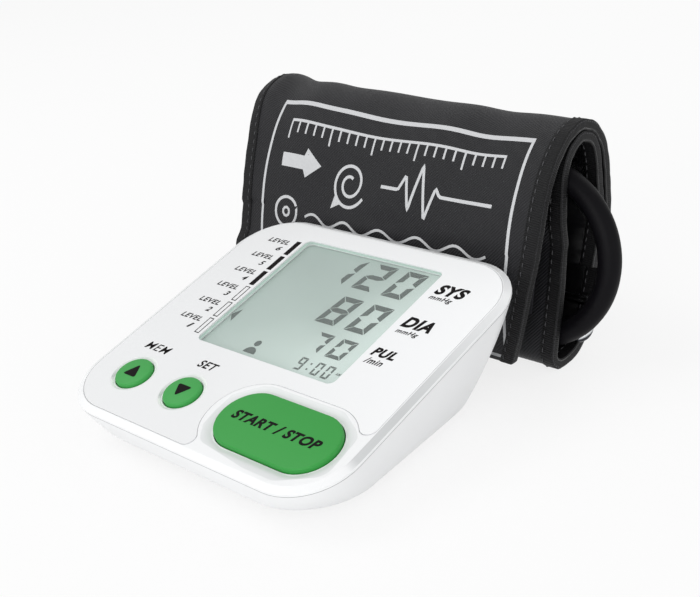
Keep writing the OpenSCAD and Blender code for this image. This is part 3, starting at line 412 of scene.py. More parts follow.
def face_height(f):
    """Metres above the face, right of its middle and up it, from the place in the standing
    frame."""
    x, y, z = f.parts(f.place())
    c, s = float(np.cos(TILT)), float(np.sin(TILT))
    y, z = y - SHIFT[1] * 0.001, z - DISPLAY_Z * 0.001
    return z * c - y * s, x - SHIFT[0] * 0.001, y * c + z * s


def within(value, low, high, blur):
    """1 where value lies from low to high, falling to 0 over blur metres outside."""
    return ((value - low) / blur + 1.0).clamp() * ((high - value) / blur + 1.0).clamp()


def bearing(f):
    """Ways a surface faces: 0 to 1 round the compass, seen from above, and the cosine of its
    angle to the face."""
    nx, ny, nz = f.parts(f.node("NewGeometry", out=1))
    c, s = float(np.cos(TILT)), float(np.sin(TILT))
    return ny.math("ARCTAN2", nx) / (2 * np.pi) + 0.5, nz * c - ny * s


# Zones of the face's polish and of its painted reflection, shadow and shade, from and to, in
# metres: heights above the face of the bevel, of the line where the shells meet and of the cones
# of the small keys' holes, and where the bay of the start key and those cones lie on the face.
BEVEL_W, JOINT_W, CONE_W = (-0.00112, -0.0001), (-0.0022, -0.00202), (-0.0011, -0.00004)
BAY_X, BAY_Y, CONE_Y, CONE_RIGHT = (0.003, 0.0545), (-0.067, -0.036), (-0.0602, -0.0405), -0.003


def shell(name, base, tint, rough):
    """White plastic with a painted shadow line where the two shells meet, and a polished bevel
    whose colour is a painted reflection of the room, set by the way it faces. The sloped sides of
    the start key's bay are painted a little greyer, as shade."""
    f = Finish(name)
    w, x, y = face_height(f)
    fine, cloud = f.noise(0.00035, 2), f.noise(0.03, 2)
    compass, along_face = bearing(f)
    # Painted reflection on the bevel: a colour for each way it faces.
    painted_tones = f.node("ValToRGB", {"stops": [
        (0.0, ink(226, 227, 228)), (0.06, ink(206, 208, 209)), (0.13, ink(246, 247, 248)),
        (0.30, ink(244, 245, 246)), (0.405, ink(240, 241, 242)), (0.43, ink(197, 199, 200)),
        (0.56, ink(204, 206, 207)), (0.66, ink(238, 239, 240)), (0.86, ink(232, 233, 234)),
        (0.95, ink(246, 247, 248))]}, {"Fac": compass})
    bay = within(x, *BAY_X, 0.0001) * within(y, *BAY_Y, 0.0001)
    bevel = within(w, *BEVEL_W, 0.00008) * (1.0 - bay)
    # Painted shadow: a grey line where the two shells meet.
    joint_shadow = within(w, *JOINT_W, 0.00006)
    # Towards the far right the painted reflection fades to an even light grey.
    far = ((y + 0.03) / 0.06).clamp() * (x / 0.01).clamp()
    # Painted shade: the sloped sides of the start key's bay are greyer.
    slope = within(along_face, 0.955, 0.991, 0.003) * bay
    plain = f.mix(slope * 0.7, f.mix(cloud, base, tint), ink(222, 224, 225))
    colour = f.mix(bevel, plain, f.mix(far * 0.8, painted_tones, ink(244, 245, 246)))
    return f.shade(Base_Color=f.mix(joint_shadow * 0.75, colour, ink(120, 121, 122)), IOR=1.5,
                   Roughness=rough + 0.08 * fine - 0.1 * bevel, Normal=f.bump(fine, 0.000006))


shell_white = shell("shell_white", ink(238, 239, 240), ink(243, 244, 245), 0.26)
tub_white = shell("tub_white", ink(236, 237, 238), ink(241, 242, 243), 0.34)


def film():
    """The printed face: matt, with painted shade that makes it a little greyer than the shells at its
    near left corner. The cones of its two key holes carry a painted highlight, white left and
    right, and painted shade, grey at the far side."""
    f = Finish("film_white")
    w, x, y = face_height(f)
    fine = f.noise(0.00035, 2)
    # Painted highlight and shade in the cones of the key holes, by the way they face.
    painted_cone_light = within(w, *CONE_W, 0.00003) * within(y, *CONE_Y, 0.0001) * x.math("LESS_THAN", CONE_RIGHT)
    painted_tones = f.node("ValToRGB", {"stops": [
        (0.0, ink(240, 241, 242)), (0.13, ink(254, 254, 254)), (0.22, ink(250, 250, 250)),
        (0.3, ink(236, 237, 238)), (0.46, ink(228, 229, 230)), (0.52, ink(205, 207, 208)),
        (0.57, ink(250, 250, 250)), (0.66, ink(254, 254, 254)), (0.75, ink(240, 241, 242)),
        (0.88, ink(232, 233, 234)), (1.0, ink(240, 241, 242))]}, {"Fac": bearing(f)[0]})
    # Painted shade: greyer towards the near left corner, lighter to the far right.
    plain = f.mix((0.35 + x * 8.0 + y * 6.0).clamp(), ink(233, 234, 235), ink(249, 250, 251))
    return f.shade(Base_Color=f.mix(painted_cone_light, plain, painted_tones),
                   Roughness=0.44 + 0.1 * fine, Normal=f.bump(fine, 0.000008))


film_white = film()
key_green = plastic("key_green", ink(38, 148, 54), 0.45, depth=0.000008, tint=ink(45, 154, 61))
small_green = plastic("small_green", ink(50, 156, 66), 0.45, depth=0.000008, tint=ink(58, 162, 75))
foot_rubber = plastic("foot_rubber", ink(52, 53, 56), 0.72, depth=0.00003, tint=ink(62, 63, 66))
socket_black = plastic("socket_black", ink(34, 35, 38), 0.4, tint=ink(42, 43, 46))

# %% Put them on
for node, body, finish, edge in (
        ("top_shell", "case", shell_white, 0.3), ("bottom_shell", "case", tub_white, 0.3),
        ("face_panel", "case", film_white, 0.08), ("battery_door", "door", tub_white, 0.25),
        ("start_button", "start_key", key_green, 0.15), ("mem_button", "mem_key", small_green, 0.2),
        ("set_button", "set_key", small_green, 0.2), ("rubber_feet", "case", foot_rubber, 0.3),
        ("air_socket", "case", socket_black, 0.25), ("power_socket", "case", socket_black, 0.25)):
    moulded(node, body, finish, edge)


# %% [markdown]
# ## Printed legends
# The film carries black screen-printed words in a slanted sans type, and a column of bars
# beside the display. Ink has almost no height, so each mark is a flat mesh five hundredths
# of a millimetre above the film, and all marks of one part are one object.
# %% Flat marks
def word(text, low, high, shear=0.25, bold=0.025):
    """A word in Blender's own type as points and polygons, stretched to the box low to high."""
    curve = bpy.data.curves.new("word", "FONT")
    curve.body, curve.shear, curve.offset, curve.resolution_u = text, shear, bold, 6
    curve.space_character = 1.12
    holder = bpy.data.objects.new("word", curve)
    bpy.context.scene.collection.objects.link(holder)
    graph = bpy.context.evaluated_depsgraph_get()
    mesh = bpy.data.meshes.new_from_object(holder.evaluated_get(graph))
    bpy.data.objects.remove(holder)
    points = np.array([v.co[:2] for v in mesh.vertices])
    faces = [list(p.vertices) for p in mesh.polygons]
    bpy.data.meshes.remove(mesh)
    bpy.data.curves.remove(curve)
    size = points.max(0) - points.min(0)
    return (points - points.min(0)) / size * (np.subtract(high, low)) + low, faces


def patch(*corners):
    """One polygon."""
    return np.array(corners, float), [list(range(len(corners)))]


def soft_patch(*corners, by):
    """A polygon whose corners are rounded: each is a curve that starts and ends by mm away."""
    p = np.array(corners, float)
    t = np.linspace(0, 1, 7)[None, :, None]
    before, after = (p + by * unit(np.roll(p, n, 0) - p) for n in (1, -1))
    ring = (1 - t) ** 2 * before[:, None] + 2 * t * (1 - t) * p[:, None] + t**2 * after[:, None]
    return ring.reshape(-1, 2), [list(range(ring.size // 2))]


def bar(x, y, w, l):
    """A rectangle round (x, y)."""
    return patch((x - w / 2, y - l / 2), (x + w / 2, y - l / 2), (x + w / 2, y + l / 2),
                 (x - w / 2, y + l / 2))


def hollow(x, y, w, l, line):
    """The four sides of a rectangle, each line wide."""
    outer = np.array([(-w, -l), (w, -l), (w, l), (-w, l)]) / 2 + (x, y)
    inner = np.array([(-w + 2 * line, -l + 2 * line), (w - 2 * line, -l + 2 * line),
                      (w - 2 * line, l - 2 * line), (-w + 2 * line, l - 2 * line)]) / 2 + (x, y)
    k = np.arange(4)
    return np.vstack([outer, inner]), np.stack([k, (k + 1) % 4, (k + 1) % 4 + 4, k + 4], -1).tolist()


def marks(name, shapes, material, above, body):
    """Flat shapes joined to one mesh, above mm over the face."""
    points, faces, first = [], [], 0
    for p, f in shapes:
        points.append(p)
        faces += [[i + first for i in face] for face in f]
        first += len(p)
    flat = np.vstack(points)
    mesh = bpy.data.meshes.new(name)
    mesh.from_pydata(row(off_face(np.column_stack([flat, np.full(len(flat), above)]))), [], faces)
    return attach(link(mesh, name, material, smooth=False), body)


# %% Words and bars on the film
def ink_finish(name, base, tint):
    """Printing ink: matt, and hardly any mirror."""
    f = Finish(name)
    return f.shade(Base_Color=f.mix(f.noise(0.0008, 2), base, tint), Roughness=0.7, Specular_IOR_Level=0.12)


ON_FILM, ON_START, ON_SMALL = 0.05, 0.93, 0.73        # heights of the ink above the face, mm
black_ink = ink_finish("black_ink", ink(16, 13, 14), ink(24, 20, 21))
bar_x, bar_w, bar_l, bar_line, bar_top, bar_pitch = -33, 2.2, 8, 0.35, 22.8, 9.1
levels = [bar_top - i * bar_pitch for i in range(6)]
bars = [bar(bar_x, level, bar_w, bar_l) for level in levels[:3]]
bars += [hollow(bar_x, level, bar_w, bar_l, bar_line) for level in levels[3:]]
numbers = []
for i, level in enumerate(levels):
    numbers += [word("LEVEL", (-46.5, level + 0.9), (-36.6, level + 3.2)),
                word(str(6 - i), (-39.4, level - 2.9), (-37.2, level - 0.5))]
marks("face_print", bars + numbers + [
    word("MEM", (-46, -39.5), (-34.4, -36.2), bold=0.004), word("SET", (-19.5, -39.4), (-11.2, -36.1)),
    word("SYS", (33.6, 18.4), (45.3, 23.6), bold=0.05), word("mmHg", (33.6, 15.2), (42.4, 17.8)),
    word("DIA", (33.3, 1.2), (44.6, 6.3), bold=0.05), word("mmHg", (33.6, -2.2), (42.2, 0.2)),
    word("PUL", (32.8, -13.3), (41.9, -9.5), bold=0.05), word("/min", (33.0, -16.8), (39.9, -14.2))],
    black_ink, ON_FILM, "case")
marks("start_print", [word("START / STOP", (10.6, -53.0), (45.9, -49.2), bold=0.045)],
      black_ink, ON_START, "start_key")
marks("mem_print", [soft_patch((-41.8, -52.6), (-35.6, -52.6), (-38.5, -47.0), by=1.3)],
      black_ink, ON_SMALL, "mem_key")
marks("set_print", [soft_patch((-11.5, -48.2), (-17.9, -48.2), (-15.0, -53.4), by=1.3)],
      black_ink, ON_SMALL, "set_key")


# %% [markdown]
# ## The display
# A reflective liquid crystal cell is a grey-green mirror behind glass: dark segments, and a
# painted light that grows towards the near side. The readings are sample numbers: two pressures, a
# pulse and the time, in slanted seven-segment figures.
# %% Seven-segment figures
SEGMENTS = {"0": "abcdef", "1": "bc", "2": "abged", "3": "abgcd", "4": "fgbc", "5": "afgcd",
            "6": "afgedc", "7": "abc", "8": "abcdefg", "9": "abcdfg"}


def figure(digit, x, y, w, h, t, lean=0.14, gap=0.16):
    """Segments of a figure whose cell starts at (x, y). Outer segments are mitred at the
    corners of the cell, the middle one is a hexagon, and gap mm parts them; x leans by lean
    times the height."""
    m, g = h / 2, gap
    upper = [(0, h - g), (0, m + g), (t, m + t / 2 + g), (t, h - t - g)]
    shapes = {"a": [(g, h), (t + g, h - t), (w - t - g, h - t), (w - g, h)],
              "g": [(g, m), (t, m + t / 2 - g / 2), (w - t, m + t / 2 - g / 2), (w - g, m),
                    (w - t, m - t / 2 + g / 2), (t, m - t / 2 + g / 2)],
              "f": upper, "b": [(w - u, v) for u, v in upper], "e": [(u, h - v) for u, v in upper],
              "c": [(w - u, h - v) for u, v in upper]}
    shapes["d"] = [(u, h - v) for u, v in shapes["a"]]
    out = []
    for key in SEGMENTS[digit]:
        ring = np.array(shapes[key])
        ring[:, 0] += lean * ring[:, 1]
        out.append((ring + (x, y), [list(range(len(ring)))]))
    return out


def number(text, right, y, w, h, t, pitch, **more):
    """Figures side by side that end at x = right."""
    return [s for i, c in enumerate(text)
            for s in figure(c, right - w - (len(text) - 1 - i) * pitch, y, w, h, t, **more)]


# %% Readings, pointer and user mark
lcd_ink = ink_finish("lcd_ink", ink(62, 64, 64), ink(74, 76, 76))
GLASS = -2.2
readings = number("120", 22.9, 13.9, 8.6, 13.9, 2.3, 12.9) + number("80", 22.6, -4.8, 8.6, 14.1, 2.3, 12.9)
readings += number("70", 23.2, -17.6, 6.5, 9.1, 1.6, 9.9, lean=0.1)
readings += number("9", 13.3, -26.1, 2.8, 5.7, 0.75, 4.0, lean=0, gap=0.08)
readings += number("00", 24.9, -26.1, 2.8, 5.7, 0.75, 4.4, lean=0, gap=0.08)
readings += [bar(15.5, y, 0.7, 0.7) for y in (-22.1, -24.6)] + [word("AM", (26.2, -23.3), (28.2, -22.1))]
readings += [patch((-28.3, -9.1), (-30.7, -12.5), (-28.1, -15.7))]
turn_steps = np.linspace(0, 2 * np.pi, 24, endpoint=False)
head = np.column_stack([-9.5 + 1.3 * np.cos(turn_steps), -21.1 + 1.4 * np.sin(turn_steps)])
half_turn = np.linspace(0, np.pi, 16)
shoulders = np.column_stack([-9.5 + 2.6 * np.cos(half_turn), -26.0 + 2.9 * np.sin(half_turn)])
readings += [(head, [list(range(24))]), (shoulders, [list(range(16))])]
marks("display_figures", readings, lcd_ink, GLASS + 0.02, "case")


# %% Reflector and lens
def display_back():
    """Grey-green with painted light that grows towards the near side and the right, by the place
    on the face, and a soft darker streak in that painted light."""
    f = Finish("display_back")
    x, y = face_height(f)[1:]
    # Painted light: lighter towards the near side and the right, with a darker streak across it.
    streak = (((x * 0.8 + y * 1.1) - 0.004) / 0.016).abs()
    near = (x * 8.0 + (x - 0.006).math("MAXIMUM", 0.0) * 14.0 - y * 9.5 + 0.48
            - 0.12 * (1.0 - streak).clamp()).clamp()
    ramp = f.node("ValToRGB", {"stops": [
        (0.0, ink(173, 187, 182)), (0.45, ink(186, 200, 195)), (0.7, ink(208, 221, 216)),
        (1.0, ink(228, 240, 236))]}, {"Fac": near})
    return f.shade(Base_Color=ramp, Roughness=0.32 + 0.1 * f.noise(0.0006, 2), Metallic=0.0)


def lens_clear():
    """Clear acrylic: nearly see-through. Its rim, under the face film, is opaque and pale and has a
    faint glow: painted light that lightens the shaded walls of the window."""
    f = Finish("lens_clear")
    x, y = face_height(f)[1:]
    half_w, half_l, blur = 0.03065, 0.02895, 0.00005
    # The rim: opaque, pale, and with a painted glow.
    rim = 1.0 - within(x, -half_w, half_w, blur) * within(y, -half_l, half_l, blur)
    return f.shade(Base_Color=ink(205, 220, 214), Roughness=0.06 + 0.05 * f.noise(0.02, 2),
                   Alpha=0.12 + 0.88 * rim, Emission_Color=f.mix(rim, (0, 0, 0, 1), ink(168, 180, 175)),
                   Emission_Strength=0.3)


moulded("display_glass", "case", display_back(), edge=0)
moulded("display_lens", "case", lens_clear(), edge=0.15)
moulded("display_holder", "case", tub_white, edge=0.2)


# %% [markdown]
# ## The rolled cuff
# The cuff is a flat sleeve of cloth, 141 mm wide and a third of a metre long, rolled up
# round nothing. Its middle line, seen from the end, is the CAD's list of points. A layer of
# the cuff is a strip: across it goes x, along it goes the middle line, and d tells how far
# outside the middle line it lies. Cloth is never that even, so one smooth field moves every
# layer together: the roll swells near its left end where the binding gathers it, and small
# puckers stand along both edges. Because all layers share the field, none can cut through
# its neighbour.
# %% Middle line of the roll
roll = [[41.6, 6.5], [41.4, 20], [42.2, 34], [46.3, 49], [51.3, 61.5], [57.2, 72], [64.6, 79.2],
        [73, 82], [80.6, 79.8], [86, 73.6], [88.2, 64.5], [87.8, 50], [85.8, 36], [81.4, 22.5],
        [74.8, 10.4], [68, 3.7], [62, 1.72], [56.4, 1.72], [53, 4.5], [53.4, 9], [56, 18.5],
        [59.2, 32], [60.6, 46], [61.2, 59], [62.8, 68.6], [67.2, 75.2], [73.8, 78], [79.6, 75.8],
        [82.8, 70], [83.6, 58], [83, 44], [81, 34], [79, 28]]
FINE = 8                                        # steps of the roll between two of its points
roll_line = through(roll, FINE)
roll_run = along(roll_line)
heading = unit(np.gradient(roll_line, axis=0))
outside = np.column_stack([-heading[:, 1], heading[:, 0]])


def ease(x, middle, width):
    """From 0 to 1 in an S round a middle, or from 1 to 0 with a negative width."""
    return 1 / (1 + np.exp(-(x - middle) / width))


LEFT, RIGHT, TAPER = -86.0, 55.0, 8.5
CORE = np.array([67.0, 44.0])                   # the roll's middle, seen from the end
step_in, step_low, step_high = 5.2, 29, 74      # the front flap's left edge stands in there
right_edge = RIGHT - TAPER * np.clip(1 - np.arange(len(roll_line)) / (3.5 * FINE), 0, 1) ** 2
front_rise = np.where(np.arange(len(roll_line)) < 7 * FINE, roll_line[:, 1], 200.0)
left_edge = LEFT + step_in * ease(front_rise, step_low, 1.8) * ease(front_rise, step_high, -4)
print("roll is", round(roll_run[-1]), "mm long in", len(roll_line), "steps")


# %% Cloth field
def hump(x, middle, width):
    """A bell of height 1."""
    return np.exp(-((x - middle) / width) ** 2)


def field(x, y, z):
    """How far cloth at (x, y, z) is pushed away from the roll's core, in mm: a swell near the
    left end of the top and a sag right of it, a slow wave along the length, and puckers near
    both edges that fade 8 mm in. It fades to nothing near the table."""
    angle = np.arctan2(z - CORE[1], y - CORE[0])
    top = np.clip((z - 50.0) / 30.0, 0, 1)
    swell = 1.5 * hump(x, -77, 7) * top - 0.7 * hump(x, -88, 4)
    sag = 1.4 * hump(x, -57, 10) + 0.9 * hump(x, -79, 4) - 1.5 * ease(x, -31, 7) - 1.3 * hump(x, 24, 11)
    slow = 0.7 * np.sin(x / 19.0 + 1.3 * angle) * np.sin(1.7 * angle + 0.4) \
        + 0.35 * np.sin(x / 8.3 + 3.1 * angle + 1.0)
    left, right = hump(x, LEFT, 7), hump(x, RIGHT, 7)
    pucker = 0.13 * left * np.sin(19 * angle) + 0.12 * right * np.sin(27 * angle + 1.0) \
        + 0.05 * (left + right) * np.sin(53 * angle + 0.7 * x / 9)
    return (swell * np.clip(z / 25.0, 0, 1) + sag * top + slow + pucker) * np.clip((z - 2.5) / 12.0, 0, 1)


def cloth(k, x, d):
    """Points of the cuff: k are steps along the roll (they may lie between two), x is the
    place across, and d the distance outside the middle line. All are arrays of one shape."""
    k = np.clip(k, 0, len(roll_line) - 1)
    low = np.minimum(k.astype(int), len(roll_line) - 2)
    t = (k - low)[..., None]
    middle = roll_line[low] * (1 - t) + roll_line[low + 1] * t
    side = unit(outside[low] * (1 - t) + outside[low + 1] * t)
    y, z = np.moveaxis(middle + side * np.asarray(d)[..., None], -1, 0)
    push = field(x, y, z)[..., None] * unit(np.stack([y, z], -1) - CORE)
    return np.stack([x + 0 * y, y + push[..., 0], np.maximum(z + push[..., 1], 0.05)], -1)


def cuff_strip(name, first, last, low, high, d0, d1, columns, material, edge=0.25):
    """Closed strip from step first to last, from x = low(k) to high(k) and from d0 to d1. Its
    section is a flat ring whose corners are rounded by edge mm."""
    k = np.linspace(first, last, int(abs(last - first)) + 1)
    xs = np.linspace(0, 1, columns)
    half, middle = (d1 - d0) / 2, (d0 + d1) / 2
    a = np.radians([-45, 0, 45])
    cap, reach = half * np.sin(a), edge * np.cos(a)
    span = np.concatenate([xs, np.ones(3), xs[::-1], np.zeros(3)])
    extra = np.concatenate([np.zeros(columns), reach, np.zeros(columns), -reach])
    depth = np.concatenate([np.full(columns, d1), middle - cap, np.full(columns, d0), middle + cap])
    kk = np.broadcast_to(k[:, None], (len(k), len(span)))
    x0, x1 = low(kk), high(kk)
    x = x0 + (x1 - x0) * span + extra
    points = cloth(kk, x, np.broadcast_to(depth, kk.shape))
    run = np.interp(k, np.arange(len(roll_run)), roll_run)[:, None]
    uv = np.stack([x, np.broadcast_to(run, x.shape)], -1)
    return outward(grid(name, points, uv=uv, closed=True, caps=True, material=material))


# %% [markdown]
# ## Cloths of the cuff
# The outside is a coated polyester twill: charcoal, with fine diagonal ribs and a soft sheen.
# The lining is a smooth black nylon that shines. The edges are bound with a ribbed tape. All
# three patterns follow the cloth, so they read the cloth's own map, which is in metres.
# %% Twill, nylon and tape
def cloth_axes(f):
    """The cloth map as two numbers in metres: across the cuff and along the roll."""
    return f.parts(f.place(uv=True))[:2]


def waves(value, pitch):
    """A sine of a number in metres, one wave a pitch."""
    return (value * (2 * np.pi / pitch)).sin()


def twill():
    """Ribs at a slant: a sine of across and along, broken by the cross threads."""
    f = Finish("twill")
    across, run = cloth_axes(f)
    rib = waves(across * 0.74 - run * 0.67, 0.00085)
    thread = waves(run, 0.0004) * waves(across, 0.0004)
    wear = f.noise(0.02, 3, uv=True)
    height = 0.5 + 0.4 * rib + 0.1 * thread
    shade = (0.5 + 0.42 * rib + 0.5 * (wear - 0.5)).clamp()
    return f.shade(Base_Color=f.mix(shade, ink(12, 12, 15), ink(34, 34, 38)), Specular_IOR_Level=0.34,
                   Roughness=0.5 + 0.12 * wear, Normal=f.bump(height, 0.00018),
                   Sheen_Weight=0.06, Sheen_Roughness=0.4)


def nylon():
    """Fine plain weave and soft creases under a clear gloss."""
    f = Finish("nylon")
    across, run = cloth_axes(f)
    weave = waves(across, 0.0005) * waves(run, 0.0005)
    crease = f.noise(0.016, 2, 0.45, uv=True, stretch=(0.6, 1.6, 1))
    height = 0.012 * weave + crease
    return f.shade(Base_Color=f.mix(crease, ink(8, 8, 10), ink(20, 20, 23)),
                   Roughness=0.16 + 0.14 * crease, Normal=f.bump(height, 0.0034))


def tape_ribs():
    """Grosgrain: ribs straight across the tape, and a fuzzy wear on them."""
    f = Finish("tape_ribs")
    across, run = cloth_axes(f)
    rib = waves(run + 0.12 * across, 0.00075)
    wear = f.noise(0.004, 3, uv=True)
    shade = (0.5 + 0.32 * rib + 0.6 * (wear - 0.5)).clamp()
    return f.shade(Base_Color=f.mix(shade, ink(2, 2, 3), ink(22, 22, 24)), Specular_IOR_Level=0.3,
                   Roughness=0.55 + 0.15 * wear, Normal=f.bump(0.5 + 0.5 * rib, 0.00014))


# %% Cover, lining and bladder
CLOTH, BLADDER, TAPE_W, TAPE_T = 0.8, 1.4, 5.0, 0.4
TOP, BACK = CLOTH + BLADDER / 2, -CLOTH - BLADDER / 2
last = len(roll_line) - 1


def beside(edge, by=0.0):
    """The place across, at each step k of the roll, that lies right of an edge by a distance."""
    return lambda k: np.interp(k, np.arange(len(edge)), edge) + by


def cuff_piece(piece, *nodes):
    """A piece of the cuff that stands for CAD nodes."""
    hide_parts(*nodes)
    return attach(piece, "cuff")


cover = cuff_piece(cuff_strip("cover", 0, last, beside(left_edge, 0.2), beside(right_edge, -0.2),
                              BLADDER / 2 + 0.02, TOP, 90, twill()), "cuff_cover")
lining = cuff_piece(cuff_strip("lining", 0, last, beside(left_edge, 0.2), beside(right_edge, -0.2),
                               BACK, -BLADDER / 2 - 0.02, 90, nylon()), "cuff_lining")


# %% [markdown]
# ## Print on the cover
# The cover carries a pale screen print: a frame with lines and signs in it. A print follows
# every fold of its cloth, so a line is not drawn on a picture but laid on the surface: each
# sample of a narrow ribbon is sent through the same function that places the cloth, a
# twentieth of a millimetre further out.
# %% Print on the cover
INK_T = 0.05


def stroke(points, width):
    """A ribbon of ink on the front of the roll. points are (x, height on the cloth) in mm and
    width is one number or one a point; the ribbon is sampled every 1.2 mm, its sides lie half
    the width square to the path, and every sample is laid on the cover."""
    p = np.asarray(points, float)
    run = along(p)
    t = np.linspace(0, run[-1], max(2, int(run[-1] / 1.2) + 2))
    p = np.column_stack([np.interp(t, run, p[:, 0]), np.interp(t, run, p[:, 1])])
    wide = np.interp(t, run, np.broadcast_to(width, len(run)))[:, None, None]
    ahead = unit(np.gradient(p, axis=0))
    side = np.column_stack([-ahead[:, 1], ahead[:, 0]])
    flat = p[:, None] + side[:, None] * wide * np.linspace(0.5, -0.5, 3)[None, :, None]
    rise = np.arange(7 * FINE + 1)
    k = np.interp(flat[..., 1], roll_line[rise, 1], rise)
    return cloth(k, flat[..., 0], np.full(k.shape, TOP + INK_T))


def wave(x0, x1, z, height, length):
    """A sine line."""
    x = np.linspace(x0, x1, 80)
    return np.column_stack([x, z + height * np.sin((x - x0) * 2 * np.pi / length)])


def arc(x, z, r0, r1, start, stop):
    """A spiral line from radius r0 to r1 between two angles in degrees."""
    a = np.radians(np.linspace(start, stop, 90))
    r = np.linspace(r0, r1, 90)
    return np.column_stack([x + r * np.cos(a), z + r * np.sin(a)])


def joined(name, sheets, material):
    """Grids of points, each any number of rows by three, as one mesh."""
    points, faces, first = [], [], 0
    for sheet in sheets:
        m, n = sheet.shape[:2]
        a = (np.arange(m - 1)[:, None] * n + np.arange(n - 1) + first)
        faces.append(np.stack([a, a + 1, a + n + 1, a + n], -1).reshape(-1, 4))
        points.append(sheet.reshape(-1, 3))
        first += m * n
    mesh = bpy.data.meshes.new(name)
    mesh.from_pydata(row(np.vstack(points)), [], np.vstack(faces).tolist())
    return link(mesh, name, material)


lines = [([(-68.5, 77.4), (44.5, 77.4)], 1.1), ([(-68, 77.4), (-69.4, 50), (-70, 8)], 1.1),
         ([(44, 77.4), (44, 8)], 1.1), ([(-70.4, 8.4), (44.5, 8.4)], 1.1)]
rule = 72.4
lines += [([(x, rule), (x, rule - (3.6 if i % 5 else 5.6))], 0.8)
          for i, x in enumerate(np.arange(-60, 38, 4.0))]
lines += [([(-60.4, rule), (36.4, rule)], 0.8),
          ([(-61, 60), (-50, 60), (-49.9, 60), (-42, 60)], [4.4, 4.4, 10.5, 0.1]),
          (arc(-27, 56, 2.2, 8.6, 60, 690), 1.1), ([(-31.5, 50.2), (-34.5, 46.5)], [4.6, 0.1]),
          ([(-12, 57), (-4, 57), (-1.5, 62), (1.5, 51), (5, 66), (9, 49), (12, 59.5), (14, 57),
            (36, 57)], 1.1),
          (arc(-57, 42, 5.4, 5.4, 0, 360), 1.1), (arc(-57, 42, 1.6, 1.6, 0, 360), 1.0)]
lines += [(wave(-47, 36, z, 1.5, 16.6), 0.9) for z in (41.5, 37.5, 33.5)]
cover_ink = ink_finish("cover_ink", ink(196, 197, 199), ink(206, 207, 209))
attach(joined("cuff_print", [stroke(*line) for line in lines], cover_ink), "cuff")
print("lines in the print:", len(lines))

# %% Bladder, and what the cloths are
bladder_film = plastic("bladder_film", ink(84, 76, 68), 0.45, grain=0.003, depth=0.0001, tint=ink(96, 88, 78))
STRETCH = {"bladder": (40, 224), "hook_tape": (4, 24), "loop_tape": (160, 184)}   # steps of the roll
bladder = cuff_piece(cuff_strip("bladder", *STRETCH["bladder"], beside(left_edge, 8), beside(right_edge, -8),
                                0.03 - BLADDER / 2, BLADDER / 2 - 0.03, 40, bladder_film, edge=0.6),
                     "air_bladder")
roll_mm = roll_run[-1]
print("cloth is 141 mm by", round(roll_mm), "mm flat")


# %% [markdown]
# ## Bound edges
# A ribbed tape is folded over each long edge and sewn through. Its section is a hairpin: it
# comes in on the outside, turns round the edge, and goes back on the inside.
# %% Tape round the edges
def hairpin(side):
    """Tape section as (across, outside) pairs, anticlockwise: an outer face with a rounded
    turn and an inner face, TAPE_T apart. side is -1 at the left edge and 1 at the right."""
    t = np.radians(np.linspace(90, -90, 9))
    r, h = TOP, TAPE_T
    face = np.linspace(-TAPE_W, -0.4, 7)
    lift = TOP + h * (1 - 0.55 * ((face + TAPE_W / 2) / (TAPE_W / 2)) ** 8)
    outer = np.column_stack([face, lift])
    turn = np.column_stack([h * 0.9 * np.cos(t) - 0.3, (r + h) * np.sin(t)])
    back = outer[::-1] * (1, -1)
    inner = np.array([(-TAPE_W, -r - 0.02), (-0.35, -r - 0.02), (-0.35, r + 0.02), (-TAPE_W, r + 0.02)])
    ring = np.vstack([outer, turn, back, inner])
    return ring * (side, 1)


def bound(name, side, edge, material):
    """The tape's section carried along the roll at one edge."""
    section = hairpin(side)
    k = np.arange(last + 1, dtype=float)[:, None]
    x = edge(k) + section[:, 0]
    kk = np.broadcast_to(k, x.shape)
    points = cloth(kk, x, np.broadcast_to(section[:, 1], x.shape))
    arc = along(section)
    uv = np.stack([np.broadcast_to(arc, x.shape), np.broadcast_to(roll_run[:, None], x.shape)], -1)
    return grid(name, points, uv=uv, closed=True, caps=True, material=material)


tape_finish = tape_ribs()
tapes = [bound("edge_tape", 1, beside(right_edge), tape_finish),
         bound("edge_tape_left", -1, beside(left_edge), tape_finish)]
for piece in tapes:
    cuff_piece(outward(piece), "edge_binding")


# %% Stitches of the tape
def stitches(name, places, material, length=2.1, width=0.32):
    """Small raised threads: each place is (middle, direction, up), in mm; a stitch is a
    six-sided barrel bent into the cloth at both ends."""
    middle, ahead, up = (np.asarray(v, float)[:, None, None, :] for v in places)
    side = np.cross(ahead, up)
    rings, sides = 5, 6
    s = np.array([-1, -0.55, 0, 0.55, 1])[None, :, None, None]
    a = np.linspace(0, 2 * np.pi, sides, endpoint=False)[None, None, :, None]
    fat = width / 2 * np.sqrt(np.clip(1.02 - s**2, 0.02, 1))
    points = middle + ahead * s * length / 2 + up * (0.12 - 0.25 * s**2) \
        + fat * (np.cos(a) * side + np.sin(a) * up)
    first = (np.arange(len(points)) * rings * sides)[:, None, None]
    i, j = np.arange(rings - 1)[:, None] * sides, np.arange(sides)
    k = (j + 1) % sides
    quads = np.stack([i + j, i + k, i + sides + k, i + sides + j], -1).reshape(1, -1, 4) + first
    ends = np.stack([j[::-1], j + (rings - 1) * sides])[None] + first
    mesh = bpy.data.meshes.new(name)
    mesh.from_pydata(row(points).reshape(-1, 3), [],
                     quads.reshape(-1, 4).tolist() + ends.reshape(-1, sides).tolist())
    return outward(link(mesh, name, material))


SEAM_IN = 3.9


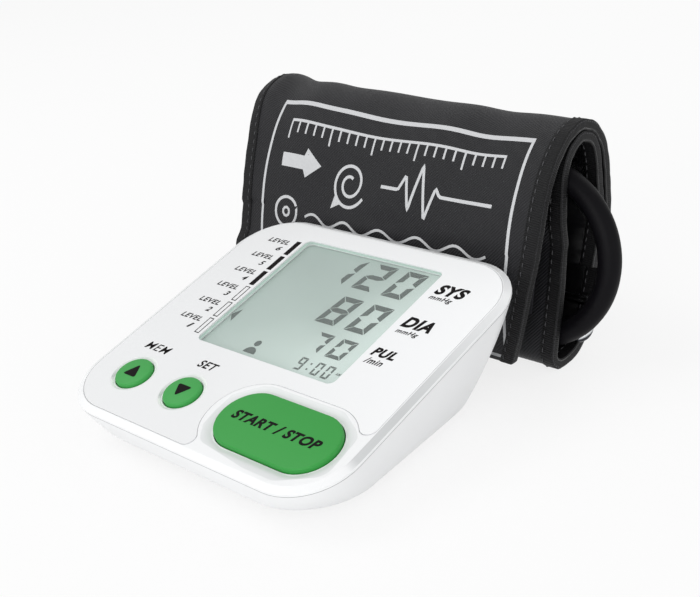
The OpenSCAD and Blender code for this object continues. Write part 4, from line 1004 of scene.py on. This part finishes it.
def seam(across, outer, pitch=3.0):
    """Places for stitches along the roll at a place across, on the outside or the inside."""
    run = np.arange(2.0, roll_mm - 2.0, pitch)
    k = np.interp(run, roll_run, np.arange(len(roll_run)))
    d = np.full(k.shape, (TOP + TAPE_T) * (1 if outer else -1))
    x = across(k)
    middle = cloth(k, x, d)
    ahead = unit(cloth(np.clip(k + 0.5, 0, last), x, d) - cloth(np.clip(k - 0.5, 0, last), x, d))
    up = unit(middle - cloth(k, x, 0 * d))
    return middle, ahead, up


sewing_thread = plastic("sewing_thread", ink(62, 62, 65), 0.6, tint=ink(88, 88, 91))
runs = [seam(edge, outer) for outer in (True, False)
        for edge in (beside(left_edge, SEAM_IN), beside(right_edge, -SEAM_IN))]
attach(stitches("tape_stitches", [np.vstack(v) for v in zip(*runs)], sewing_thread), "cuff")
print("stitches:", sum(len(run[0]) for run in runs))


# %% [markdown]
# ## Ring, strap, patches and fittings
# The cuff is pulled tight through a plated wire ring, held by a short strap and closed by
# hook and loop tapes. The ring is small and bright, and a mirror needs a room to mirror; the
# scene's room is all white, so a painted reflection in the ring's colour brings the dark bands.
# The tapes are strips of the roll like the cloths, and the moulded fittings are merged copies.
# %% Ring, strap, patches and fittings
def steel():
    """Plated wire with a painted reflection of a white table below, a dark cloth beside and a white
    room above: its colour runs through dark and bright bands with the slope of its surface."""
    f = Finish("steel")
    scratch = f.noise(0.0008, 3, stretch=(0.15, 1, 1))
    up = f.parts(f.node("NewGeometry", out=1))[2]
    # Painted reflection: the colour goes by how far the surface faces up.
    bands = f.node("ValToRGB", {"stops": [
        (0.0, ink(120, 122, 126)), (0.2, ink(40, 41, 44)), (0.42, ink(60, 61, 65)),
        (0.52, ink(225, 227, 230)), (0.66, ink(250, 251, 252)), (0.74, ink(70, 71, 75)),
        (0.88, ink(150, 152, 156)), (1.0, ink(215, 217, 220))]},
        {"Fac": 0.5 * up + 0.5 + 0.06 * (scratch - 0.5)})
    return f.shade(Base_Color=bands, Metallic=1.0, Roughness=0.14 + 0.12 * scratch)


moulded("metal_ring", "ring", steel(), edge=0, angle=50)
strap_cloth = Finish("strap_cloth")
ribs = strap_cloth.noise(0.0009, 3, stretch=(1, 1, 3))
strap_cloth.shade(Base_Color=strap_cloth.mix(ribs, ink(26, 26, 29), ink(46, 46, 50)),
                  Roughness=0.5 + 0.2 * ribs, Normal=strap_cloth.bump(ribs, 0.0002))
moulded("ring_strap", "cuff", strap_cloth.material, edge=0.2)
hooks = plastic("hook_tape", ink(40, 41, 46), 0.8, grain=0.0011, depth=0.0005, tint=ink(62, 63, 68))
loops = plastic("loop_tape", ink(34, 34, 38), 0.9, grain=0.0007, depth=0.0004, tint=ink(50, 50, 55))
patch_t = 0.6
cuff_piece(cuff_strip("hook_tape", *STRETCH["hook_tape"], beside(left_edge, 16), beside(right_edge, -16),
                      BACK - patch_t, BACK - 0.01, 60, hooks), "hook_patch")
cuff_piece(cuff_strip("loop_tape", *STRETCH["loop_tape"], beside(left_edge, 10), beside(right_edge, -10),
                      TOP + 0.01, TOP + patch_t, 60, loops), "loop_patch")
for node, finish, edge in (("hose_port", socket_black, 0.2), ("air_plug", socket_black, 0.2),
                           ("plug_seal", foot_rubber, 0)):
    moulded(node, "cuff", finish, edge)


# %% [markdown]
# ## Inside the unit
# Nothing of this shows in the photograph, but the parts get their own finishes all the same,
# so that an opened or cut view reads at once.
# %% Finishes of the inner parts
def metal(name, base, tint, rough):
    """Bare or plated metal with a brushed grain."""
    f = Finish(name)
    grain = f.noise(0.0006, 3, stretch=(0.2, 1, 1))
    return f.shade(Base_Color=f.mix(grain, base, tint), Metallic=1.0, Roughness=rough + 0.15 * grain,
                   Normal=f.bump(grain, 0.000015))


def dress(material, *nodes):
    """One material for every slot of some CAD nodes."""
    for node in nodes:
        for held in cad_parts[node].material_slots:
            held.material = material


INNER = (
    (metal("zinc", ink(176, 178, 182), ink(206, 208, 211), 0.28),
     "pump_motor", "case_screws", "board_screws"),
    (metal("nickel", ink(190, 186, 176), ink(214, 210, 200), 0.22), "spring_contacts", "plate_contacts"),
    (plastic("board_green", ink(22, 84, 46), 0.35, grain=0.002, depth=0.00003, tint=ink(30, 100, 56)),
     "main_board"),
    (plastic("chip_black", ink(26, 26, 29), 0.55, tint=ink(36, 36, 39)),
     "controller_chip", "key_switches", "buzzer", "pressure_sensor"),
    (plastic("soft_pink", ink(214, 150, 158), 0.7, grain=0.001, tint=ink(226, 166, 172)), "contact_strips"),
    (plastic("natural", ink(214, 212, 204), 0.5, grain=0.004, tint=ink(224, 222, 214)),
     "pump_head", "pump_rotor", "valve_body", "valve_plunger", "air_manifold"),
    (plastic("foam", ink(54, 54, 58), 0.95, grain=0.0012, depth=0.0004, tint=ink(72, 72, 76)), "pump_foam"),
    (plastic("silicone", ink(206, 208, 205), 0.4, grain=0.006, tint=ink(220, 222, 219)), "air_tubes"),
    (plastic("cell_sleeve", ink(64, 84, 112), 0.32, grain=0.003, tint=ink(74, 96, 124)), "battery_cells"),
    (plastic("lead_red", ink(160, 40, 36), 0.45, tint=ink(176, 52, 46)), "lead_wires"))
for finish, *nodes in INNER:
    dress(finish, *nodes)
print("dressed inner nodes:", sum(len(entry) - 1 for entry in INNER))
